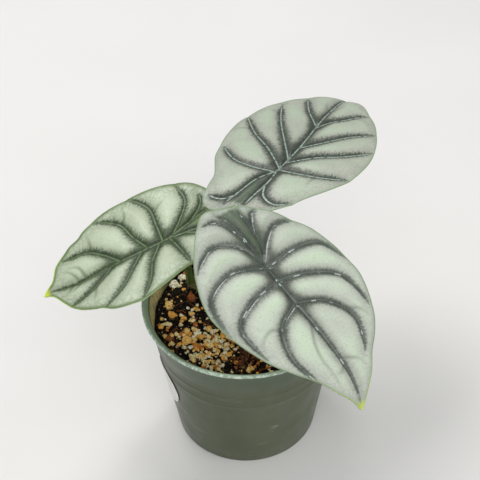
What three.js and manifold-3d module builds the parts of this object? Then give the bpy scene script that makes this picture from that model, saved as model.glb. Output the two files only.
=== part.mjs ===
// A small aroid house plant with three silver, dark-veined leaves, growing in a round nursery pot.
// Millimetres, +Z up, origin at the centre of the pot's underside. The front of the plant faces -Y.

import * as THREE from "three";
import { mergeVertices } from "three/addons/utils/BufferGeometryUtils.js";
import Module from "manifold-3d";

const wasm = await Module();
wasm.setup();

// Driving dimensions

const RUNNING_GAP = 0.3;         // between pieces that touch
const POT_HEIGHT = 86;
const POT_BASE_RADIUS = 37.4;
const POT_TOP_RADIUS = 50.2;     // body just below the lip
const POT_WALL = 1.0;
const LIP_RADIUS = 52.5;
const LIP_THICKNESS = 1.8;
const SHOULDER_DEPTH = 17;       // stacking step, below the rim
const SHOULDER_STEP = 0.4;
const FLOOR_TOP = 2.4;
const FLOOR_RECESS = 1.2;
const CENTRE_PAD_RADIUS = 12;    // flat pad in the middle of the base
const FOOT_RING_WIDTH = 6;
const DRAIN_HOLE_COUNT = 6;
const DRAIN_HOLE_RADIUS = 3.5;
const DRAIN_HOLE_CIRCLE = 23;
const POT_SIDES = 48;
const EDGE_ROUND = 0.5;          // bevel on the lip, the foot and the shoulder

const SOIL_EDGE_HEIGHT = 69;     // soil surface where it meets the wall
const SOIL_MOUND = 7;            // extra height round the crown
const SOIL_MOUND_SPREAD = 24;
const SOIL_WALL_DEPTH = 4;       // straight stretch of the soil's side below its surface
const SOIL_RINGS = [43, 38, 33, 28, 23, 18, 12, 6];
const LUMP_HEIGHT = 0.7;         // low swells in the soil's surface
const LUMP_LENGTH = 16;
const GRAIN_COUNT = 64;
const GRAIN_SMALLEST = 1.3;
const GRAIN_LARGEST = 2.7;
const GRAIN_FIELD = 43.5;        // grains lie within this radius
const GRAIN_CLEARANCE = 4;       // and stay this far from the crown
const GRAIN_SINK = 0.2;          // depth of a grain's middle below the surface, of its size
const GRAIN_SEED = 7;

const CROWN_PLACE = new THREE.Vector2(-24, 22);
const CROWN_BOTTOM = 59;
const CROWN_TOP = 78;
const CROWN_RADIUS = 6.8;
const CROWN_SIDES = 20;

const LABEL_START = 180;         // degrees round the pot from +X
const LABEL_SPAN = 37.5;
const LABEL_HEIGHT = 41.5;       // of the round label's middle
const LABEL_RADIUS = 13;
const LABEL_THICKNESS = 0.35;
const LABEL_SIDES = 32;

const BLADE_THICKNESS = 0.8;
const RIB_DEPTH = 1.2;           // how far the midrib stands out below the blade
const VEIN_DEPTH = 0.5;          // the same for a side vein
const VEIN_SINK = 0.7;           // how far a vein lies below the blade's upper face
const VEIN_FADE = 14;            // length over which a rib fades at the tip and the lobes
const PUFF = 1.0;                // how far a panel between veins bulges up
const PUFF_PER_WIDTH = 0.07;     // narrow panels bulge less, in proportion to their width
const MARGIN_WAVE = 0.7;
const ROWS = 9;                  // steps from midrib to margin
const PANEL_STEPS = [0, 0.13, 0.5, 0.87];

// Each leaf is described flat, in millimetres from the point where its stalk joins. The outline
// gives the reach from that point to the margin at these angles from the tip, on each side.
// A vein is [start along the midrib, x, y, x, y, x, y, angle where its line meets the margin];
// a negative start lies on the basal rib of that side, towards the lobes.
const OUTLINE_ANGLES = [0, 4, 8, 15, 25, 35, 45, 60, 75, 90, 105, 120, 135, 150, 165, 180];

const LEAVES = [
  {
    name: "front",
    joint: [9.7, -32.3, 141.7],
    heading: -54,                // compass direction of the midrib, degrees from +X
    slope: 24,                   // how far the tip points below level at the joint
    roll: 0,
    archRadius: 154,             // the midrib bends down towards the tip on this radius
    baseArchRadius: 167,
    hookRadius: 154,             // tighter bend past hookStart
    hookStart: 70,
    crossRadius: 250,            // the blade bends down to the sides on this radius
    bend: [[-36, -0.5], [0, 0], [20, -2], [45, -7], [62, -10], [74, -10], [84, -8]],
    right: {
      reach: [82, 75, 70, 62, 56, 51.5, 47, 42, 39, 36, 34, 33.5, 34, 36, 38.5, 34.5],
      basalRib: [1, -11, 3, -22, 5.5, -31, 169],
      veins: [
        [-25, 8.5, -30.5, 12, -31, 15, -29.5, 147],
        [-4, 6.5, -13.8, 17, -19, 27, -14, 112],
        [1.5, 16.6, -3.8, 30, 1, 35, 9, 70],
        [11, 16.6, 12.8, 28, 19.5, 32, 28, 43],
        [23.5, 13.7, 30, 19.8, 41, 20, 51, 18],
        [36, 7, 45, 9.5, 56.5, 8.3, 67, 5],
      ],
    },
    left: {
      reach: [82, 75, 70, 62.5, 57.5, 53.5, 49.5, 44.5, 39, 34.5, 31.5, 29.5, 29.5, 30.5, 32.5, 34.5],
      basalRib: [-3.5, -8, -5.5, -18, -6.5, -26, -168],
      veins: [
        [-17, -9, -22, -13, -24, -16.5, -23.5, -141],
        [-4.5, -8, -10, -16.6, -15.2, -25.5, -13.5, -113],
        [2, -17, -0.5, -30, 2, -36, 9.5, -72],
        [10, -15.6, 13.3, -28.5, 21, -33, 31, -44],
        [23.5, -13, 28.4, -20.3, 40, -20, 50, -19],
        [55, -4.6, 57, -7.4, 60, -8.4, 64, -5.5],
      ],
    },
  },
  {
    name: "back",
    joint: [17.2, 28.1, 147.5],
    heading: 61,
    slope: 3,
    roll: 4,
    archRadius: 400,
    baseArchRadius: 83,
    hookRadius: 28,
    hookStart: 76,
    crossRadius: 250,
    bend: [[-32, -9.5], [-12, -2.5], [0, 0], [25, 1], [60, -1.5], [95, -2]],
    right: {
      reach: [95, 88, 83, 75.5, 67, 58.5, 51, 42, 36, 31.5, 29, 28.5, 30, 31.5, 31.5, 28],
      basalRib: [1.8, -9.4, 2.5, -19, 4, -26, 169],
      veins: [
        [-12, 7, -18.5, 13.5, -20.5, 19.5, -17, 124],
        [2, 10.7, 2.6, 21, 4.3, 30, 8, 71],
        [8.5, 11.2, 18.4, 22.5, 26.2, 31.5, 34.5, 41],
        [23, 9.8, 34, 17.7, 45.7, 26, 54.5, 24],
        [45, 3, 52, 7, 61, 11, 71, 8],
        [64, 2, 69, 4, 75, 5.5, 81, 3.5],
      ],
    },
    left: {
      reach: [95, 88, 83, 77, 70.5, 63, 57, 47.5, 40, 35, 30.5, 28.5, 30.5, 34, 34, 28],
      basalRib: [-4.2, -9.2, -5, -19.8, -5.6, -27, -169],
      veins: [
        [-22, -9, -26, -12.5, -27, -16, -26, -146],
        [-3, -13.4, -2, -24.8, 1.5, -34, 8.5, -72],
        [3, -13.7, 15.8, -27.9, 28.2, -38, 42, -41],
        [11, -10.2, 26.7, -19.2, 43.2, -26.5, 59, -23],
        [43, -3.7, 50, -8, 59, -13, 69, -10.5],
        [62, -2, 68, -4, 75, -5.5, 81, -3.5],
      ],
    },
  },
  {
    name: "left",
    joint: [-37.1, 6.1, 124.1],
    heading: -166,
    slope: 12,
    roll: 0,
    archRadius: 167,
    baseArchRadius: 250,
    hookRadius: 167,
    hookStart: 60,
    crossRadius: -200,           // this young leaf is slightly cupped
    bend: [[-25, 6], [0, 0], [12, -1.6], [30, -2.2], [49, -2], [60, 1.5], [66, 4.5], [73, 5.2]],
    right: {
      reach: [71, 65, 63, 61.5, 57, 51, 46.5, 40.5, 37, 34.5, 33, 32.5, 32, 31.5, 31, 28],
      basalRib: [1.8, -7.6, 3.8, -15.2, 5, -22.7, 169],
      veins: [
        [-13, 8.5, -19, 13.5, -21.5, 18, -21, 136],
        [-4, 8.4, -9.5, 17.8, -14, 27, -12.4, 109],
        [3, 11.9, 3.6, 24.2, 4.7, 33.5, 11, 68],
        [11, 11.1, 16.5, 22.6, 21, 30.5, 30, 42],
        [26, 9.4, 33.4, 16.5, 42, 18.5, 52, 17],
        [49, 3.6, 50.8, 6.4, 53.4, 7.6, 57, 6],
      ],
    },
    left: {
      reach: [71, 65, 62, 58, 51.5, 47.5, 45.5, 39.5, 32, 27.5, 26, 26, 27, 29, 30, 28],
      basalRib: [-1.2, -5.2, -2.4, -12, -4, -21, -169],
      veins: [
        [-9, -6, -14.5, -11, -18.5, -15, -19, -139],
        [-3.5, -7.4, -4.5, -14.5, -5.5, -21.5, -6.4, -104],
        [4, -10.1, 10.6, -20.8, 13.6, -31, 18.5, -58],
        [14.5, -9.1, 21.4, -17.7, 27.8, -24.5, 37, -32],
        [30, -5.1, 37.4, -9.6, 45.2, -12.4, 53, -12],
        [49, -2.4, 51.6, -4.8, 54.6, -6.4, 57.6, -5.5],
      ],
    },
  },
];

// Stalks rise from the crown and meet the blade square to its underside.
const STALK_FOOT_RADIUS = 2.5;
const STALK_TOP_RADIUS = 1.5;
const STALK_FOOT_HEIGHT = 70;
const STALK_TAPER_END = 0.55;    // part of the length over which a stalk thins
const STALK_SIDES = 10;
const STALK_STEPS = 16;
const STALKS = [
  { name: "front", foot: [1.6, -3.1], lean: [3, -6, 22], approach: 14 },
  { name: "back", foot: [2.6, 2.4], lean: [9, 2, 26], approach: 14 },
  { name: "left", foot: [-3.3, 0.2], lean: [-2, -2, 20], approach: 12 },
];

// Materials

function material(color, roughness, metalness = 0) {
  return new THREE.MeshStandardMaterial({ color, roughness, metalness });
}

const POT_PLASTIC = material(0x4f5f50, 0.5);
const LABEL_PAPER = material(0xe9e9e4, 0.6);
const SOIL_MIX = material(0x4a3a2c, 0.95);
const CROWN_SKIN = material(0x6b6a48, 0.7);
const STALK_SKIN = material(0x6f8a4e, 0.5);
const BLADE_SKIN = material(0xa9b8a2, 0.45);

// Small helpers

const radians = THREE.MathUtils.degToRad;
const lerp = THREE.MathUtils.lerp;

function signedVolume(geometry) {
  const place = geometry.getAttribute("position");
  const index = geometry.index.array;
  const a = new THREE.Vector3();
  const b = new THREE.Vector3();
  const c = new THREE.Vector3();
  let sum = 0;
  for (let i = 0; i < index.length; i += 3) {
    a.fromBufferAttribute(place, index[i]);
    b.fromBufferAttribute(place, index[i + 1]);
    c.fromBufferAttribute(place, index[i + 2]);
    sum += a.dot(b.cross(c)) / 6;
  }
  return sum;
}

// Shared corners merged, flat triangles dropped and every face turned outwards.
function closedBody(geometry) {
  const bare = geometry.clone();
  bare.deleteAttribute("normal");
  bare.deleteAttribute("uv");
  const merged = mergeVertices(bare, 1e-4);
  const kept = [];
  const index = merged.index.array;
  for (let i = 0; i < index.length; i += 3) {
    const [a, b, c] = [index[i], index[i + 1], index[i + 2]];
    if (a !== b && b !== c && c !== a) {
      kept.push(a, b, c);
    }
  }
  merged.setIndex(kept);
  if (signedVolume(merged) < 0) {
    for (let i = 0; i < kept.length; i += 3) {
      [kept[i], kept[i + 1]] = [kept[i + 1], kept[i]];
    }
    merged.setIndex(kept);
  }
  return merged;
}

function toSolid(geometry) {
  const body = closedBody(geometry);
  return new wasm.Manifold(new wasm.Mesh({
    numProp: 3,
    vertProperties: Float32Array.from(body.getAttribute("position").array),
    triVerts: Uint32Array.from(body.index.array),
  }));
}

function toGeometry(solid) {
  const mesh = solid.getMesh();
  const geometry = new THREE.BufferGeometry();
  geometry.setAttribute("position", new THREE.BufferAttribute(mesh.vertProperties, 3));
  geometry.setIndex(new THREE.BufferAttribute(mesh.triVerts, 1));
  return geometry;
}

function piece(name, geometry, skin) {
  const mesh = new THREE.Mesh(closedBody(geometry), skin);
  mesh.name = name;
  return mesh;
}

// A closed profile of [radius, height] pairs turned round the vertical axis.
function turned(profile, sides) {
  const points = profile.map(([radius, height]) => new THREE.Vector2(radius, height));
  return new THREE.LatheGeometry(points, sides).rotateX(Math.PI / 2);
}

// A smooth value between [position, value] knots.
function smoothStep(knots, at) {
  const last = knots.length - 1;
  const clamped = THREE.MathUtils.clamp(at, knots[0][0], knots[last][0]);
  let i = 0;
  while (i < last - 1 && clamped > knots[i + 1][0]) {
    i += 1;
  }
  const slope = (k) => {
    const before = knots[Math.max(k - 1, 0)];
    const after = knots[Math.min(k + 1, last)];
    return (after[1] - before[1]) / (after[0] - before[0]);
  };
  const span = knots[i + 1][0] - knots[i][0];
  const t = (clamped - knots[i][0]) / span;
  const rise = knots[i + 1][1] - knots[i][1];
  const inSlope = slope(i) * span;
  const outSlope = slope(i + 1) * span;
  return knots[i][1] + inSlope * t + (3 * rise - 2 * inSlope - outSlope) * t * t
    + (inSlope + outSlope - 2 * rise) * t * t * t;
}

// The pot

const BODY_TAPER = (POT_TOP_RADIUS - SHOULDER_STEP - POT_BASE_RADIUS) / POT_HEIGHT;
const SHOULDER_HEIGHT = POT_HEIGHT - SHOULDER_DEPTH;

function potOuterRadius(height) {
  const step = height > SHOULDER_HEIGHT ? SHOULDER_STEP : 0;
  return POT_BASE_RADIUS + BODY_TAPER * height + step;
}

function potInnerRadius(height) {
  return potOuterRadius(height) - POT_WALL;
}

function makePot() {
  const lipBottom = POT_HEIGHT - LIP_THICKNESS;
  const outside = [
    [0, 0],
    [CENTRE_PAD_RADIUS, 0],
    [CENTRE_PAD_RADIUS + FLOOR_RECESS, FLOOR_RECESS],
    [POT_BASE_RADIUS - FOOT_RING_WIDTH - FLOOR_RECESS, FLOOR_RECESS],
    [POT_BASE_RADIUS - FOOT_RING_WIDTH, 0],
    [POT_BASE_RADIUS - EDGE_ROUND, 0],
    [potOuterRadius(2 * EDGE_ROUND), 2 * EDGE_ROUND],
    [potOuterRadius(SHOULDER_HEIGHT), SHOULDER_HEIGHT],
    [potOuterRadius(SHOULDER_HEIGHT + EDGE_ROUND), SHOULDER_HEIGHT + EDGE_ROUND],
    [potOuterRadius(lipBottom), lipBottom],
    [LIP_RADIUS - EDGE_ROUND, lipBottom],
    [LIP_RADIUS, lipBottom + EDGE_ROUND],
    [LIP_RADIUS, POT_HEIGHT - EDGE_ROUND],
    [LIP_RADIUS - EDGE_ROUND, POT_HEIGHT],
  ];
  const inside = [
    [potInnerRadius(POT_HEIGHT) + EDGE_ROUND, POT_HEIGHT],
    [potInnerRadius(POT_HEIGHT - EDGE_ROUND), POT_HEIGHT - EDGE_ROUND],
    [potInnerRadius(SHOULDER_HEIGHT + EDGE_ROUND), SHOULDER_HEIGHT + EDGE_ROUND],
    [potInnerRadius(SHOULDER_HEIGHT), SHOULDER_HEIGHT - 2 * EDGE_ROUND],
    [potInnerRadius(FLOOR_TOP), FLOOR_TOP],
    [0, FLOOR_TOP],
  ];
  let pot = toSolid(turned([...outside, ...inside], POT_SIDES));
  for (let i = 0; i < DRAIN_HOLE_COUNT; i += 1) {
    const angle = (i / DRAIN_HOLE_COUNT) * 2 * Math.PI;
    const depth = 3 * FLOOR_TOP;
    const hole = new THREE.CylinderGeometry(DRAIN_HOLE_RADIUS, DRAIN_HOLE_RADIUS, depth, 14);
    hole.rotateX(Math.PI / 2);
    hole.translate(DRAIN_HOLE_CIRCLE * Math.cos(angle), DRAIN_HOLE_CIRCLE * Math.sin(angle), 0);
    pot = pot.subtract(toSolid(hole));
  }
  return piece("pot", toGeometry(pot), POT_PLASTIC);
}

// A plain round sticker, punched out of a strip that is bent round the wall. The strip's steps
// are in line with the pot's own facets.
function makeLabel() {
  const steps = Math.round(LABEL_SPAN / (360 / POT_SIDES));
  const strip = new THREE.BoxGeometry(1, 1, 1, steps, 1, 1);
  const place = strip.getAttribute("position");
  for (let i = 0; i < place.count; i += 1) {
    const angle = radians(LABEL_START + (place.getX(i) + 0.5) * LABEL_SPAN);
    const height = LABEL_HEIGHT + place.getY(i) * 3 * LABEL_RADIUS;
    const lift = RUNNING_GAP + (place.getZ(i) + 0.5) * LABEL_THICKNESS;
    const radius = potOuterRadius(height) + lift;
    place.setXYZ(i, radius * Math.cos(angle), radius * Math.sin(angle), height);
  }
  const punch = new THREE.CylinderGeometry(LABEL_RADIUS, LABEL_RADIUS, POT_TOP_RADIUS, LABEL_SIDES);
  punch.rotateZ(Math.PI / 2);
  punch.translate(POT_BASE_RADIUS, 0, LABEL_HEIGHT);
  punch.rotateZ(radians(LABEL_START + LABEL_SPAN / 2));
  return piece("label", toGeometry(toSolid(strip).intersect(toSolid(punch))), LABEL_PAPER);
}

// The soil

function soilHeight(x, y) {
  const away = Math.hypot(x - CROWN_PLACE.x, y - CROWN_PLACE.y) / SOIL_MOUND_SPREAD;
  const mound = SOIL_MOUND * Math.exp(-away * away);
  const [u, v] = [x, y].map((place) => (place / LUMP_LENGTH) * 2 * Math.PI);
  const lumps = Math.sin(u + 1) * Math.cos(v + 2) + Math.sin(0.5 * u - 0.7 * v);
  return SOIL_EDGE_HEIGHT + mound + LUMP_HEIGHT * lumps;
}

function crownProfile(grow) {
  const radius = CROWN_RADIUS + grow;
  return [
    [0, CROWN_BOTTOM - grow],
    [0.6 * radius, CROWN_BOTTOM - grow],
    [radius, CROWN_BOTTOM + 0.9 * radius],
    [radius, CROWN_TOP - 0.7 * radius],
    [0.86 * radius, CROWN_TOP - 0.2 * radius + grow],
    [0.45 * radius, CROWN_TOP + grow],
    [0, CROWN_TOP + grow],
  ];
}

function makeSoil(random) {
  const wallFoot = SOIL_EDGE_HEIGHT - SOIL_WALL_DEPTH;
  const edge = potInnerRadius(wallFoot) - RUNNING_GAP;
  const profile = [
    [0, FLOOR_TOP + RUNNING_GAP],
    [potInnerRadius(FLOOR_TOP) - 2 * RUNNING_GAP, FLOOR_TOP + RUNNING_GAP],
    [edge, wallFoot],
    ...[edge, ...SOIL_RINGS].map((radius) => [radius, SOIL_EDGE_HEIGHT]),
    [0, SOIL_EDGE_HEIGHT],
  ];
  const ground = turned(profile, POT_SIDES);
  const place = ground.getAttribute("position");
  for (let i = 0; i < place.count; i += 1) {
    if (place.getZ(i) > wallFoot + 1) {
      place.setZ(i, soilHeight(place.getX(i), place.getY(i)));
    }
  }
  let soil = toSolid(ground);
  for (let i = 0; i < GRAIN_COUNT; i += 1) {
    soil = soil.add(makeGrain(random));
  }
  const stemHole = turned(crownProfile(RUNNING_GAP), CROWN_SIDES);
  stemHole.translate(CROWN_PLACE.x, CROWN_PLACE.y, 0);
  soil = soil.subtract(toSolid(stemHole));
  for (const stalk of STALKS) {
    soil = soil.subtract(toSolid(stalkGeometry(stalk, RUNNING_GAP)));
  }
  return piece("soil", toGeometry(soil), SOIL_MIX);
}

// A coarse lump of perlite, pumice or bark, sunk by more than half into the surface.
function makeGrain(random) {
  const spot = new THREE.Vector2();
  do {
    const away = GRAIN_FIELD * Math.sqrt(random());
    spot.set(away, 0).rotateAround(new THREE.Vector2(), random() * 2 * Math.PI);
  } while (spot.distanceTo(CROWN_PLACE) < CROWN_RADIUS + GRAIN_CLEARANCE);
  const size = lerp(GRAIN_SMALLEST, GRAIN_LARGEST, random() ** 2);
  const grain = new THREE.IcosahedronGeometry(size, 0);
  grain.scale(1, 0.8 + 0.3 * random(), 0.75);
  grain.rotateZ(random() * Math.PI);
  grain.rotateX(random() - 0.5);
  grain.translate(spot.x, spot.y, soilHeight(spot.x, spot.y) - GRAIN_SINK * size);
  return toSolid(grain);
}

// Leaf blades

function leafBasis(leaf) {
  const heading = radians(leaf.heading);
  const slope = radians(leaf.slope);
  const tipward = new THREE.Vector3(
    Math.cos(heading) * Math.cos(slope),
    Math.sin(heading) * Math.cos(slope),
    -Math.sin(slope),
  );
  const across = new THREE.Vector3(Math.sin(heading), -Math.cos(heading), 0);
  const rolled = new THREE.Quaternion().setFromAxisAngle(tipward, -radians(leaf.roll));
  across.applyQuaternion(rolled);
  const up = new THREE.Vector3().crossVectors(across, tipward);
  return { across, tipward, up };
}

// The flat leaf point (x, y) on the arched blade, lifted off it by a height.
function onBlade(leaf, x, y, lift) {
  const shifted = x + smoothStep(leaf.bend, y);
  const arch = y < 0 ? 1 / leaf.baseArchRadius : 1 / leaf.archRadius;
  const hook = 1 / leaf.hookRadius;
  const plain = Math.min(y, leaf.hookStart);
  const past = Math.max(y - leaf.hookStart, 0);
  const start = arch * leaf.hookStart;
  const turn = arch * plain + hook * past;
  let along = Math.sin(arch * plain) / arch;
  let drop = (Math.cos(arch * plain) - 1) / arch;
  if (past > 0) {
    along += (Math.sin(turn) - Math.sin(start)) / hook;
    drop += (Math.cos(turn) - Math.cos(start)) / hook;
  }
  const side = shifted / leaf.crossRadius;
  const out = Math.sin(side) * (leaf.crossRadius + lift);
  const raise = Math.cos(side) * (leaf.crossRadius + lift) - leaf.crossRadius;
  return new THREE.Vector3(
    out,
    along + raise * Math.sin(turn),
    drop + raise * Math.cos(turn),
  );
}

function reachAt(half, angle) {
  const knots = OUTLINE_ANGLES.map((at, i) => [at, half.reach[i]]);
  return smoothStep(knots, Math.abs(angle));
}

function marginPoint(half, angle) {
  const reach = reachAt(half, angle);
  return new THREE.Vector2(reach * Math.sin(radians(angle)), reach * Math.cos(radians(angle)));
}

// The line that a side's veins leave from: the midrib, and below the joint the basal rib.
function spineOf(half) {
  const [x1, y1, x2, y2, x3, y3, angle] = half.basalRib;
  const rib = new THREE.SplineCurve([
    new THREE.Vector2(0, 0),
    new THREE.Vector2(x1, y1),
    new THREE.Vector2(x2, y2),
    new THREE.Vector2(x3, y3),
    marginPoint(half, angle),
  ]);
  const length = rib.getLength();
  const tip = half.reach[0];
  return {
    from: -length,
    to: tip,
    angle,
    at: (s) => (s < 0 ? rib.getPointAt(Math.min(-s / length, 1)) : new THREE.Vector2(0, s)),
  };
}

function veinLine(half, spine, vein) {
  const [start, x1, y1, x2, y2, x3, y3, angle] = vein;
  const path = new THREE.SplineCurve([
    spine.at(start),
    new THREE.Vector2(x1, y1),
    new THREE.Vector2(x2, y2),
    new THREE.Vector2(x3, y3),
    marginPoint(half, angle),
  ]);
  return { start, angle, at: (r) => path.getPointAt(r) };
}

// The grid lines of one half of the blade, from the lobe's end to the tip. Each runs from the
// spine to the margin, and the veins are grid lines themselves.
function halfColumns(half) {
  const spine = spineOf(half);
  const lobeEnd = spine.at(spine.from);
  const tipEnd = spine.at(spine.to);
  const lines = [
    { start: spine.from, angle: spine.angle, at: () => lobeEnd },
    ...half.veins.map((vein) => veinLine(half, spine, vein)),
    { start: spine.to, angle: 0, at: () => tipEnd },
  ];
  const columns = [];
  for (let k = 0; k < lines.length - 1; k += 1) {
    for (const t of PANEL_STEPS) {
      columns.push(column(half, spine, lines[k], lines[k + 1], t));
    }
  }
  columns.push(column(half, spine, lines[lines.length - 2], lines[lines.length - 1], 1));
  return { spine, columns };
}

function column(half, spine, before, after, t) {
  const start = lerp(before.start, after.start, t);
  const edge = marginPoint(half, lerp(before.angle, after.angle, t));
  const root = spine.at(start);
  const mix = (r) => before.at(r).clone().lerp(after.at(r), t);
  const edgeShift = edge.clone().sub(mix(1));
  const rootShift = root.clone().sub(mix(0));
  const points = [];
  for (let row = 0; row <= ROWS; row += 1) {
    const r = row / ROWS;
    const point = mix(r);
    point.addScaledVector(edgeShift, r * r);
    point.addScaledVector(rootShift, (1 - r) * (1 - r));
    const width = before.at(r).distanceTo(after.at(r));
    points.push({ x: point.x, y: point.y, lift: panelLift(t, r, width), rib: ribDepth(t, r) });
  }
  return { start, points };
}

// Panels are puffed up between sunken veins, and the margin waves gently.
function panelLift(t, r, width) {
  const puff = Math.min(PUFF, PUFF_PER_WIDTH * width);
  const dome = Math.sin(Math.PI * t) ** 0.7 * Math.sin(Math.PI * Math.min(r, 0.98)) ** 0.6;
  const onVein = t === 0 || t === 1 || r === 0;
  const sink = onVein ? VEIN_SINK * (1 - r ** 3) : 0;
  const wave = MARGIN_WAVE * (Math.sin(Math.PI * t) - 0.5) * r ** 4;
  return puff * dome - sink + wave;
}

function ribDepth(t, r) {
  if (r === 0) {
    return RIB_DEPTH;
  }
  return t === 0 || t === 1 ? VEIN_DEPTH * (1 - r) : 0;
}

// Triangles between two rows of points that run the same way but are spaced differently.
function zip(first, second) {
  const triangles = [];
  let i = 0;
  let j = 0;
  while (i < first.length - 1 || j < second.length - 1) {
    const nextFirst = i < first.length - 1 ? first[i + 1].along : Infinity;
    const nextSecond = j < second.length - 1 ? second[j + 1].along : Infinity;
    if (nextFirst <= nextSecond) {
      triangles.push([first[i].id, first[i + 1].id, second[j].id]);
      i += 1;
    } else {
      triangles.push([first[i].id, second[j + 1].id, second[j].id]);
      j += 1;
    }
  }
  return triangles;
}

function makeBlade(leaf) {
  const points = [];
  const triangles = [];
  const add = (point) => points.push(point) - 1;
  const sides = [halfColumns(leaf.right), halfColumns(leaf.left)];
  // Seen from above, triangles listed alike run clockwise on the right half only.
  const addFaces = (faces, isRight) => {
    triangles.push(...faces.map(([a, b, c]) => (isRight ? [a, c, b] : [a, b, c])));
  };

  // The midrib carries the starting points of both halves.
  const starts = sides.flatMap(({ columns }) => columns.map(({ start }) => start));
  const onMidrib = [...new Set([0, ...starts.filter((s) => s > 0)])].sort((a, b) => a - b);
  const ribAt = (s) => RIB_DEPTH * (1 - 0.6 * Math.max(s, 0) / leaf.right.reach[0]);
  const sinkAt = (fromEnd) => -VEIN_SINK * Math.min(1, fromEnd / VEIN_FADE);
  const midrib = onMidrib.map((s) => ({
    along: s,
    id: add({ x: 0, y: s, lift: sinkAt(leaf.right.reach[0] - s), rib: ribAt(s) }),
  }));
  const joint = midrib[0];
  const tip = midrib[midrib.length - 1];

  const margins = [];
  const basalRibs = [];
  for (const { spine, columns } of sides) {
    const isRight = basalRibs.length === 0;
    const below = columns.filter(({ start }) => start < 0);
    const basal = below.map(({ start }) => {
      const place = spine.at(start);
      const lift = sinkAt(start - spine.from);
      return { along: start, id: add({ x: place.x, y: place.y, lift, rib: VEIN_DEPTH }) };
    });
    const spineRow = [...basal, ...midrib];
    const lobe = basal[0];
    const rows = [];
    for (let row = 1; row <= ROWS; row += 1) {
      rows.push(columns.map(({ start, points: line }, k) => {
        if (k === 0) {
          return { along: start, id: lobe.id };
        }
        if (k === columns.length - 1) {
          return { along: start, id: tip.id };
        }
        return { along: start, id: add(line[row]) };
      }));
    }
    addFaces(zip(spineRow, rows[0]), isRight);
    for (let row = 0; row < ROWS - 1; row += 1) {
      for (let k = 0; k < columns.length - 1; k += 1) {
        const [a, b] = [rows[row][k].id, rows[row][k + 1].id];
        const [c, d] = [rows[row + 1][k].id, rows[row + 1][k + 1].id];
        addFaces([[a, b, d], [a, d, c]], isRight);
      }
    }
    margins.push(rows[ROWS - 1].map(({ id }) => id));
    basalRibs.push([...basal, joint].reverse());
  }

  // The narrow zone between the two basal ribs ends at the notch between the lobes.
  const notchReach = leaf.right.reach[leaf.right.reach.length - 1];
  const centre = [1, 2, 3, 4].map((step) => ({
    along: (step - 1) / 4,
    id: add({ x: 0, y: -step / 4 * notchReach, lift: step === 4 ? 0 : 0.3, rib: 0 }),
  }));
  centre.unshift({ along: 0, id: joint.id });
  const notch = centre[centre.length - 1];
  basalRibs.forEach((ribLine, side) => {
    const end = ribLine[ribLine.length - 1].along;
    const scaled = ribLine.map(({ along, id }) => ({ along: along / end, id }));
    addFaces(zip(scaled, centre), side === 0);
  });
  return skin(leaf, points, triangles, orderedOutline(margins, notch));
}

// The margin as one loop: tip, right margin, notch, left margin, back to the tip.
function orderedOutline(margins, notch) {
  const right = [...margins[0]].reverse();
  const left = margins[1];
  const loop = [...right, notch.id, ...left];
  return loop.filter((id, i) => id !== loop[(i + 1) % loop.length]);
}

// Both faces of the blade and its rim, split into triangles alike above and below.
function skin(leaf, points, triangles, outline) {
  const count = points.length;
  const position = new Float32Array(count * 6);
  points.forEach(({ x, y, lift, rib }, i) => {
    onBlade(leaf, x, y, lift).toArray(position, i * 3);
    onBlade(leaf, x, y, lift - BLADE_THICKNESS - rib).toArray(position, (count + i) * 3);
  });
  const index = [];
  for (const [a, b, c] of triangles) {
    if (a === b || b === c || c === a) {
      continue;
    }
    index.push(a, b, c, count + a, count + c, count + b);
  }
  outline.forEach((from, i) => {
    const to = outline[(i + 1) % outline.length];
    index.push(from, to, count + to, from, count + to, count + from);
  });
  const geometry = new THREE.BufferGeometry();
  geometry.setAttribute("position", new THREE.BufferAttribute(position, 3));
  geometry.setIndex(index);
  return geometry;
}

function makeLeaf(leaf) {
  const mesh = piece(`leaf_${leaf.name}`, makeBlade(leaf), BLADE_SKIN);
  const { across, tipward, up } = leafBasis(leaf);
  mesh.setRotationFromMatrix(new THREE.Matrix4().makeBasis(across, tipward, up));
  mesh.position.set(...leaf.joint);
  return mesh;
}

// Stalks and crown

function stalkPath(stalk) {
  const leaf = LEAVES.find(({ name }) => name === stalk.name);
  const joint = new THREE.Vector3(...leaf.joint);
  const { up } = leafBasis(leaf);
  const seat = BLADE_THICKNESS + RIB_DEPTH + VEIN_SINK + RUNNING_GAP;
  const foot = new THREE.Vector3(
    CROWN_PLACE.x + stalk.foot[0],
    CROWN_PLACE.y + stalk.foot[1],
    STALK_FOOT_HEIGHT,
  );
  return new THREE.CatmullRomCurve3([
    foot,
    foot.clone().add(new THREE.Vector3(...stalk.lean)),
    joint.clone().addScaledVector(up, -stalk.approach),
    joint.clone().addScaledVector(up, -seat),
  ]);
}

// A round rod bent along the stalk's path, stouter at its foot.
function stalkGeometry(stalk, grow) {
  const path = stalkPath(stalk);
  const rod = new THREE.CylinderGeometry(1, 1, 1, STALK_SIDES, STALK_STEPS);
  const frames = path.computeFrenetFrames(STALK_STEPS, false);
  const place = rod.getAttribute("position");
  for (let i = 0; i < place.count; i += 1) {
    const step = Math.round((place.getY(i) + 0.5) * STALK_STEPS);
    const t = step / STALK_STEPS;
    const thinning = Math.min(1, t / STALK_TAPER_END);
    const radius = lerp(STALK_FOOT_RADIUS, STALK_TOP_RADIUS, thinning) + grow;
    const centre = path.getPointAt(t);
    centre.addScaledVector(frames.normals[step], place.getX(i) * radius);
    centre.addScaledVector(frames.binormals[step], place.getZ(i) * radius);
    if (step === 0) {
      centre.addScaledVector(frames.tangents[0], -grow);
    }
    place.setXYZ(i, centre.x, centre.y, centre.z);
  }
  return rod;
}

function makeStalk(stalk) {
  return piece(`petiole_${stalk.name}`, stalkGeometry(stalk, 0), STALK_SKIN);
}

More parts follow.
